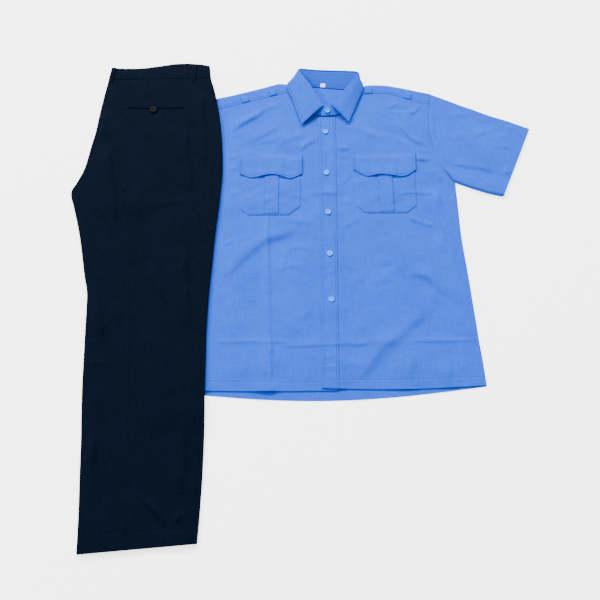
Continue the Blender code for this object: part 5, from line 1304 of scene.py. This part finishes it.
def trace(points, rows, columns):
    """Points and normals of a grid at fractional rows and columns, from its four nearest points."""
    normal = normals_of(points)
    r = np.clip(np.floor(rows).astype(int), 0, points.shape[0] - 2)
    c = np.clip(np.floor(columns).astype(int), 0, points.shape[1] - 2)
    a, b = (rows - r)[..., None], (columns - c)[..., None]
    mixed = []
    for field in (points, normal):
        near = field[r, c] * (1 - a) * (1 - b) + field[r + 1, c] * a * (1 - b)
        far = field[r, c + 1] * (1 - a) * b + field[r + 1, c + 1] * a * b
        mixed.append(near + far)
    return mixed[0], mixed[1] / np.linalg.norm(mixed[1], axis=-1, keepdims=True)


stand_x = stand_points[:, 4, 0]
stand_y = stand_points[:, 4, 1]
behind_neck = np.where((stand_y > 0.470) & (stand_x > 0.02) & (stand_x < 0.07))[0]
label_low, label_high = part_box("shirt_size_label")
label_rows = np.interp(np.linspace(label_low[0], label_high[0], 12), stand_x[behind_neck], behind_neck)
label_columns = np.linspace(0.8, 4.2, 9)
on_stand, facing = trace(stand_points, *np.meshgrid(label_rows, label_columns, indexing="ij"))
facing = facing * np.where(facing[..., 2:] < 0, -1, 1)
label = lay_grid("shirt_size_label", even_grid(on_stand + facing * 0.9 * MM, 0.4 * MM), tape, ending="_tape")
print("shoulder loops:", len(tabs), "label, mm:", round((label_high[0] - label_low[0]) / MM, 1))

# %% [markdown]
# A four-hole shirt button is turned from a resin blank: a rounded rim, a dished middle and four
# drilled holes. It is a polar grid. The radius runs out and round the edge, and the height takes a
# steep dip at each hole. Two bars of thread cross the middle and hold it to the cloth.

# %% Buttons
BUTTON_HEIGHT, BUTTON_RIM = 2.2 * MM, 0.6 * MM
FRONT_RADIUS, NECK_RADIUS, HORN_RADIUS = 6.2 * MM, 5.6 * MM, 7.8 * MM


def button_grid(radius, hole_ring, steps):
    """Profile turned round the axis: dished top, rounded rim, flat back; holes dip the top."""
    height, rim, hole_radius = BUTTON_HEIGHT, BUTTON_RIM, hole_ring / 2
    inner = np.linspace(0, 0.62, steps)
    outer = np.linspace(0.66, 1.0, 9)
    back = np.array([0.97, 0.80, 0.40, 0.0])
    r = np.concatenate([inner, outer, back]) * radius
    dish = height - rim + rim * past(outer, 0.60, 0.16) - 0.55 * height * past(outer, 0.86, 0.14) ** 2
    z = np.concatenate([np.full(steps, height - rim), dish, [height * 0.12, 0.0, 0.0, 0.0]])
    turn = np.linspace(0, 2 * np.pi, 64, endpoint=False)
    x = r[:, None] * np.cos(turn)
    y = r[:, None] * np.sin(turn)
    z = z[:, None] + 0 * x
    top_side = (np.arange(len(r)) < steps)[:, None]
    for quarter in range(4):
        angle = np.pi / 4 + quarter * np.pi / 2
        away = np.hypot(x - hole_ring * np.cos(angle), y - hole_ring * np.sin(angle))
        hole = 1 - past(away, hole_radius * 0.7, hole_radius * 0.6)
        z = z - top_side * 0.8 * (height - rim) * hole
    return np.stack([x, y, z], axis=-1)


def place_button(node_name, points, centre, tilt, material):
    """Tip a button by the tilt about +X, move it to its seat and close its poles."""
    cos, sin = np.cos(tilt), np.sin(tilt)
    turned = np.stack([points[..., 0], points[..., 1] * cos - points[..., 2] * sin,
                       points[..., 1] * sin + points[..., 2] * cos], axis=-1) + np.array(centre)
    rows, columns = turned.shape[:2]
    body = turned[1:-1].reshape(-1, 3)
    numbers = np.arange(len(body)).reshape(rows - 2, columns)
    after = np.roll(numbers, -1, axis=1)
    quads = np.stack([numbers[:-1], numbers[1:], after[1:], after[:-1]], axis=-1).reshape(-1, 4)
    pole_top, pole_back = len(body), len(body) + 1
    caps = [[pole_top, a, b] for a, b in zip(numbers[0], after[0])]
    caps += [[pole_back, b, a] for a, b in zip(numbers[-1], after[-1])]
    points = np.concatenate([body, turned[0, :1], turned[-1, :1]])
    mesh = mesh_of(node_name + "_resin", points, quads.tolist() + caps)
    return finish_piece(mesh, material, stands_for=node_name)


def add_button(node_name, radius, hole_ring, steps, seat, tilt, material, thread):
    """Turn a button, set it on its seat and note where its thread goes."""
    points = button_grid(radius, hole_ring, steps)
    buttons.append(place_button(node_name, points, seat, tilt, material))
    button_seats.append((seat, tilt, hole_ring, thread))


FRONT_BUTTONS = [(0.0480, 0.3610), (0.0490, 0.2550), (0.0515, 0.1570), (0.0540, 0.0580), (0.0560, -0.0460)]
buttons, button_seats = [], []
for number, (x, y) in enumerate(FRONT_BUTTONS, start=1):
    node_name = "shirt_button_%d" % number
    add_button(node_name, FRONT_RADIUS, 1.7 * MM, 22, (x, y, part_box(node_name)[0][2]), 0.0, blue_resin,
               pale_thread)
neck_low, neck_high = (np.array(corner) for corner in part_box("collar_button"))
neck_tilt = float(np.arcsin(np.clip((neck_high[2] - neck_low[2] - BUTTON_HEIGHT) / (2 * NECK_RADIUS), 0, 1)))
neck_back = np.array([0, np.sin(neck_tilt), -np.cos(neck_tilt)]) * BUTTON_HEIGHT / 2
add_button("collar_button", NECK_RADIUS, 1.6 * MM, 22, (neck_low + neck_high) / 2 + neck_back, neck_tilt,
           blue_resin, pale_thread)
horn_seat = (-0.3470, 0.4160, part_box("back_pocket_button")[0][2])
add_button("back_pocket_button", HORN_RADIUS, 2.0 * MM, 24, horn_seat, 0.0, horn_resin, navy_thread)
print("buttons:", len(buttons), "neck button tilt, degrees:", round(np.degrees(neck_tilt), 1))

# %% [markdown]
# Stitches are real pieces of thread, about 2.6 mm long. Each is a small bead with a square section
# that dips into the cloth at both ends. A bead has two dozen faces, and thousands of them are laid
# at once: one bead's points are written in the directions along, across and up at every stitch.

# %% Stitches
BEAD_ALONG = np.array([-1.0, -0.62, 0.0, 0.62, 1.0])
BEAD_SIZE = np.array([0.0, 0.8, 1.0, 0.8, 0.0])
BEAD_UP = np.array([-0.5, 0.1, 0.4, 0.1, -0.5])


def bead_faces():
    """Faces of one bead: four triangles at each tip and two rings of four quads between."""
    rings = np.arange(12).reshape(3, 4) + 1
    after = np.roll(rings, -1, axis=1)
    tips = [[0, b, a] for a, b in zip(rings[0], after[0])] + [[13, a, b] for a, b in zip(rings[2], after[2])]
    quads = [[rings[k, i], after[k, i], after[k + 1, i], rings[k + 1, i]]
             for k in range(2) for i in range(4)]
    return tips, quads


def sew(name, lines, material, pitch=2.9 * MM, length=2.3 * MM, thick=0.30 * MM):
    """Beads along lines of (points, normals): middle at even steps, plus along, across and up."""
    spots, alongs, ups = [], [], []
    for points, normals in lines:
        run = run_length(points)
        count = max(1, int(run[-1] / pitch))
        at = (np.arange(count) + 0.5) * run[-1] / count
        nearby = ((at, points), (at + 0.2 * MM, points), (at - 0.2 * MM, points), (at, normals))
        here, ahead, behind, up = (np.stack([np.interp(w, run, field[:, k]) for k in range(3)], axis=1)
                                   for w, field in nearby)
        spots.append(here)
        alongs.append(ahead - behind)
        ups.append(up)
    spot, along, up = (np.concatenate(group) for group in (spots, alongs, ups))
    along /= np.linalg.norm(along, axis=1, keepdims=True)
    across = np.cross(up, along)
    across /= np.linalg.norm(across, axis=1, keepdims=True)
    ring = np.array([(1, 0), (0, 1), (-1, 0), (0, -1)])
    size = BEAD_SIZE[1:4, None] * thick
    local = [[(-length / 2, 0, BEAD_UP[0] * thick)]]
    local.append(np.stack([BEAD_ALONG[1:4, None] * length / 2 + 0 * size * ring[:, 0], size * ring[:, 0],
                           size * ring[:, 1] + BEAD_UP[1:4, None] * thick], axis=-1).reshape(-1, 3))
    local.append([(length / 2, 0, BEAD_UP[4] * thick)])
    local = np.concatenate(local)
    points = (spot[:, None] + along[:, None] * local[None, :, 0:1] + across[:, None] * local[None, :, 1:2]
              + up[:, None] * local[None, :, 2:3]).reshape(-1, 3)
    step = (np.arange(len(spot)) * len(local))[:, None, None]
    tips, quads = (np.array(group)[None] + step for group in bead_faces())
    mesh = mesh_of(name, points, tips.reshape(-1, 3).tolist() + quads.reshape(-1, 4).tolist())
    print(name, "stitches:", len(spot))
    return finish_piece(mesh, material)


def on_grid(grid, path, steps=160, up_sign=None):
    """A stitch line on a grid: path holds (row share, column share) corners, lifted by half a wall."""
    corners = np.array(path, dtype=float)
    run = run_length(corners)
    at = np.unique(np.concatenate([np.linspace(0, run[-1], steps), run]))
    row_share, column_share = (np.interp(at, run, corners[:, k]) for k in range(2))
    r = np.interp(row_share, grid.rows, np.arange(len(grid.rows)))
    c = np.interp(column_share, grid.columns, np.arange(len(grid.columns)))
    spots, normals = trace(grid.points, r, c)
    normals = normals * (np.where(normals[:, 2:] < 0, -1, 1) if up_sign is None else up_sign)
    return spots + normals * (grid.wall / 2 + 0.12 * MM), normals


def three_sides(grid, start, inset_r, inset_c, steps):
    """A stitch line down one side of a grid, along its last row and up the other side."""
    low, far = inset_c, 1 - inset_c
    return on_grid(grid, [(start, low), (1 - inset_r, low), (1 - inset_r, far), (start, far)], steps)


def two_sides(grid, share, start, end, steps):
    """Two stitch lines down a grid, at a share from each side."""
    return [on_grid(grid, [(start, column), (end, column)], steps) for column in (share, 1 - share)]


def row_line(grid, row, start, end, steps):
    """One stitch line along a row of a grid."""
    return on_grid(grid, [(row, start), (row, end)], steps)


hem_share = HEM_LINE / FRONT_LENGTH
hem_lines = [row_line(grid, hem_share, PLACKET_WIDTH / FRONT_WIDTH, 0.999, 300)
             for grid in (left_grid, right_grid)]
shirt_lines = two_sides(placket_shape, PLACKET_STITCH / PLACKET_WIDTH, 0.002, 0.998, 400)
hem_lines.append(row_line(placket_shape, HEM_LINE / PLACKET_LENGTH, 0.02, 0.98, 30))
for spec in POCKETS:
    width, depth = spec.right - spec.left, spec.top - spec.bottom
    grid = pocket_grids[spec.side]
    hem_lines.append(three_sides(grid, 0.02, POCKET_STITCH / depth, POCKET_STITCH / width, 400))
for spec in POCKETS:
    inset = PLEAT_STITCH / (spec.pleat_right - spec.pleat_left)
    shirt_lines += two_sides(pleat_grids[spec.side], inset, 0.36, 0.98, 200)
for grid in flap_grids.values():
    for inset in (EDGE_STITCH, FLAP_STITCH):
        shirt_lines.append(three_sides(grid, 0.04, inset / FLAP_DEPTH, inset / FLAP_WIDTH, 300))
    shirt_lines.append(row_line(grid, 0.03, 0.01, 0.99, 200))
front_rows = yoke_shape.points[yoke_front_row:]
seam_row = np.interp(YOKE_FRONT - SIDE_STITCH, yoke_front_shares * YOKE_FRONT, np.arange(len(front_rows)))
for low_x, high_x in ((-0.200, NECK_LEFT - 0.001), (NECK_RIGHT + 0.001, 0.290)):
    at_columns = np.where((front_rows[-1, :, 0] > low_x) & (front_rows[-1, :, 0] < high_x))[0].astype(float)
    spots, normals = trace(front_rows, np.full(len(at_columns), seam_row), at_columns)
    normals = normals * np.where(normals[:, 2:] < 0, -1, 1)
    shirt_lines.append((spots + normals * (CLOTH / 2 + 0.1 * MM), normals))
hem_lines.append(row_line(top_side, 1 - CUFF_LINE / sleeve_length, 0.02, 0.98, 200))
# A real underarm seam; its dark thread also paints the shade along the sleeve's lower edge
shirt_lines.append(on_grid(top_side, [(0.01, UNDERARM_COLUMN), (0.98, UNDERARM_COLUMN)], 200))
armhole_column = 1 - SIDE_STITCH / FRONT_WIDTH
ARMHOLE_START = 0.665  # the underarm, as a share of the front's length
shirt_lines.append(on_grid(left_grid, [(ARMHOLE_START, armhole_column), (0.998, armhole_column)], 200))
fall_up = 1 if normals_of(fall_points)[:20, :, 2].mean() > 0 else -1
LEAF_LENGTH, FALL_LENGTH = 0.070, 0.045  # from fold to edge, at a leaf and beside the neck
leaf, side_share = 1 - FALL_STITCH / LEAF_LENGTH, 1 - FALL_STITCH / FALL_LENGTH
fall_path = [(0.030, 0.06), (0.030, leaf), (0.30, side_share), (0.36, 0.62), (0.62, 0.62),
             (0.68, side_share), (0.970, leaf), (0.970, 0.06)]
shirt_lines.append(on_grid(fall_shape, fall_path, 500, fall_up))
for grid in tab_grids.values():
    shirt_lines += two_sides(grid, 0.13, 0.05, 0.95, 12)
# Painted shade: the dark thread darkens the grooves and edge steps along these seams
shirt_stitches = sew("shirt_stitching", shirt_lines, blue_thread_painted_shade, thick=0.40 * MM)
hem_stitches = sew("shirt_hem_stitching", hem_lines, hem_thread)

# %% [markdown]
# Buttonholes are dense bars of satin stitch on both sides of a slit. The flaps' own ones show as
# pale upright marks, because no button is seen through them. Belt loops and the pocket's ends get
# bar tacks in navy, the same dense stitch laid across the strip.

# %% Buttonholes, bar tacks and button thread
def satin(centre, half_length, half_width, height, turned=0.0, rows=14):
    """Short thread lines side by side, on both sides of a slit along Y, turned by an angle."""
    lines = []
    cos, sin = np.cos(turned), np.sin(turned)
    for at in np.linspace(-half_length, half_length, rows):
        for side in (-1, 1):
            ends = np.array([(side * 0.15 * MM, at), (side * half_width, at)])
            x = centre[0] + ends[:, 0] * cos - ends[:, 1] * sin
            y = centre[1] + ends[:, 0] * sin + ends[:, 1] * cos
            spots = np.stack([x, y, height(x, y)], axis=1)
            lines.append((spots, np.tile(UP, (2, 1))))
    return lines


flap_marks = []
for side, x, y in (("right", -0.0760, 0.2715), ("left", 0.1770, 0.2680)):
    points = flap_grids[side].points.reshape(-1, 3)
    nearest = np.argsort(np.hypot(points[:, 0] - x, points[:, 1] - y))[:8]
    level = points[nearest, 2].mean() + 0.65 * MM
    slope = FLAP_LIFT * 0.9 / FLAP_DEPTH  # about the slope of the flap's lift at its buttonhole
    flap_marks += satin((x, y), 8.5 * MM, 1.9 * MM,
                        lambda px, py: level - slope * (py - y) + 0 * px, rows=24)
for x, y in FRONT_BUTTONS:
    flap_marks += satin((x, y), 7.6 * MM, 1.1 * MM,
                        lambda px, py: left_top(px, py) + ON_FRONT + 0.55 * MM, rows=22)
shirt_marks = sew("shirt_buttonholes", flap_marks, pale_thread, 5 * MM, 1.5 * MM, 0.26 * MM)

tacks = []
for end in (-1, 1):
    centre = (WELT_CENTRE[0] + end * WELT_LENGTH / 2, WELT_CENTRE[1] - 0.0002)
    tacks += satin(centre, 3.4 * MM, 1.0 * MM, lambda px, py: leg_top(px, py) + 1.3 * MM, rows=12)
for grid in loop_grids.values():
    for row in (2, -3):
        centre = grid.points[row].mean(axis=0)
        tacks += satin(centre[:2], 4.2 * MM, 0.9 * MM, lambda px, py: centre[2] + 0.6 * MM + 0 * px,
                       np.pi / 2, 12)
tacks += satin((horn_seat[0], 0.4052), 2.2 * MM, 0.7 * MM, lambda px, py: leg_top(px, py) + 0.7 * MM,
               rows=6)
trouser_tacks = sew("trouser_bar_tacks", tacks, navy_thread, pitch=5 * MM, length=1.4 * MM, thick=0.26 * MM)


def button_threads(seats):
    """Two bars of thread on each button, from hole to hole, in the button's own tilted plane."""
    lines = {}
    z = BUTTON_HEIGHT - BUTTON_RIM + 0.25 * MM
    for seat, tilt, ring, material in seats:
        side = ring * np.sqrt(0.5)
        for x in (-side, side):
            y = np.linspace(-side, side, 5)
            up = np.array([0.0, -np.sin(tilt), np.cos(tilt)])
            spots = np.stack([seat[0] + x + 0 * y, seat[1] + y * np.cos(tilt) - z * np.sin(tilt),
                              seat[2] + y * np.sin(tilt) + z * np.cos(tilt)], axis=1)
            lines.setdefault(material.name, []).append((spots, np.tile(up, (5, 1))))
    return lines


threads = button_threads(button_seats)
shirt_button_threads = sew("shirt_button_threads", threads[pale_thread.name], pale_thread, 5 * MM, 2.6 * MM,
                           0.35 * MM)
horn_threads = sew("trouser_button_threads", threads[navy_thread.name], navy_thread, 5 * MM, 3.0 * MM,
                   0.4 * MM)

# The side seam's stitches run from the waist seam over this share of the leg
SEAM_COLUMN, SEAM_END = 0.991, 0.60
trouser_lines = [on_grid(leg, [(0.001, SEAM_COLUMN), (SEAM_END, SEAM_COLUMN)], 500)]
trouser_lines.append(row_line(band, 0.93, 0.02, 0.98, 200))
for grid in loop_grids.values():
    trouser_lines += two_sides(grid, 0.14, 0.06, 0.94, 30)
trouser_stitches = sew("trouser_stitching", trouser_lines, navy_thread, pitch=3.2 * MM)

# %% [markdown]
# Pieces sewn on a panel read its heights and hang from the same root, so they go with it.

print("cloth pieces laid")

# %% [markdown]
# The photo was taken on a white table, nearly without shadows. A floor that glows a little, like a
# light table, gives that white. Two large lights beyond the collar rake down over the cloth, so its
# creases show and both sides of a seam get a thin dark line. A smaller one fills from the left for
# the creases that run up and down, and the sky is a soft white.

# %% Floor and lights
floor_corners = np.array([(-4.0, -4.0, 0.0), (4.0, -4.0, 0.0), (4.0, 4.0, 0.0), (-4.0, 4.0, 0.0)])
floor_mesh = mesh_of("floor", floor_corners, [(0, 1, 2, 3)])
floor_material, _, floor_shader = start_material("matt_white_paper", Roughness=0.95, Emission_Strength=2.2)
floor_shader.inputs["Emission Color"].default_value = linear("#FFFFFF")
floor_shader.inputs["Base Color"].default_value = linear("#F4F5F6")
floor_mesh.materials.append(floor_material)
floor = bpy.data.objects.new("floor", floor_mesh)
bpy.context.scene.collection.objects.link(floor)


def soft_light(name, place, size, power):
    """A square area light that looks from its place to the middle of the floor."""
    data = bpy.data.lights.new(name, "AREA")
    data.shape = "SQUARE"
    data.size = size
    data.energy = power
    light = bpy.data.objects.new(name, data)
    bpy.context.scene.collection.objects.link(light)
    light.location = place
    light.rotation_euler = (-Vector(place)).to_track_quat("-Z", "Y").to_euler()


soft_light("key_left", (-2.6, 7.4, 5.2), 2.6, 1720.0)
soft_light("key_right", (2.2, 7.4, 5.2), 2.6, 1050.0)
soft_light("side", (-4.6, 0.8, 3.4), 1.6, 350.0)
world = bpy.data.worlds.new("studio")
bpy.context.scene.world = world
world.use_nodes = True
world.node_tree.nodes["Background"].inputs["Color"].default_value = linear("#F2F5FA")
world.node_tree.nodes["Background"].inputs["Strength"].default_value = 0.8
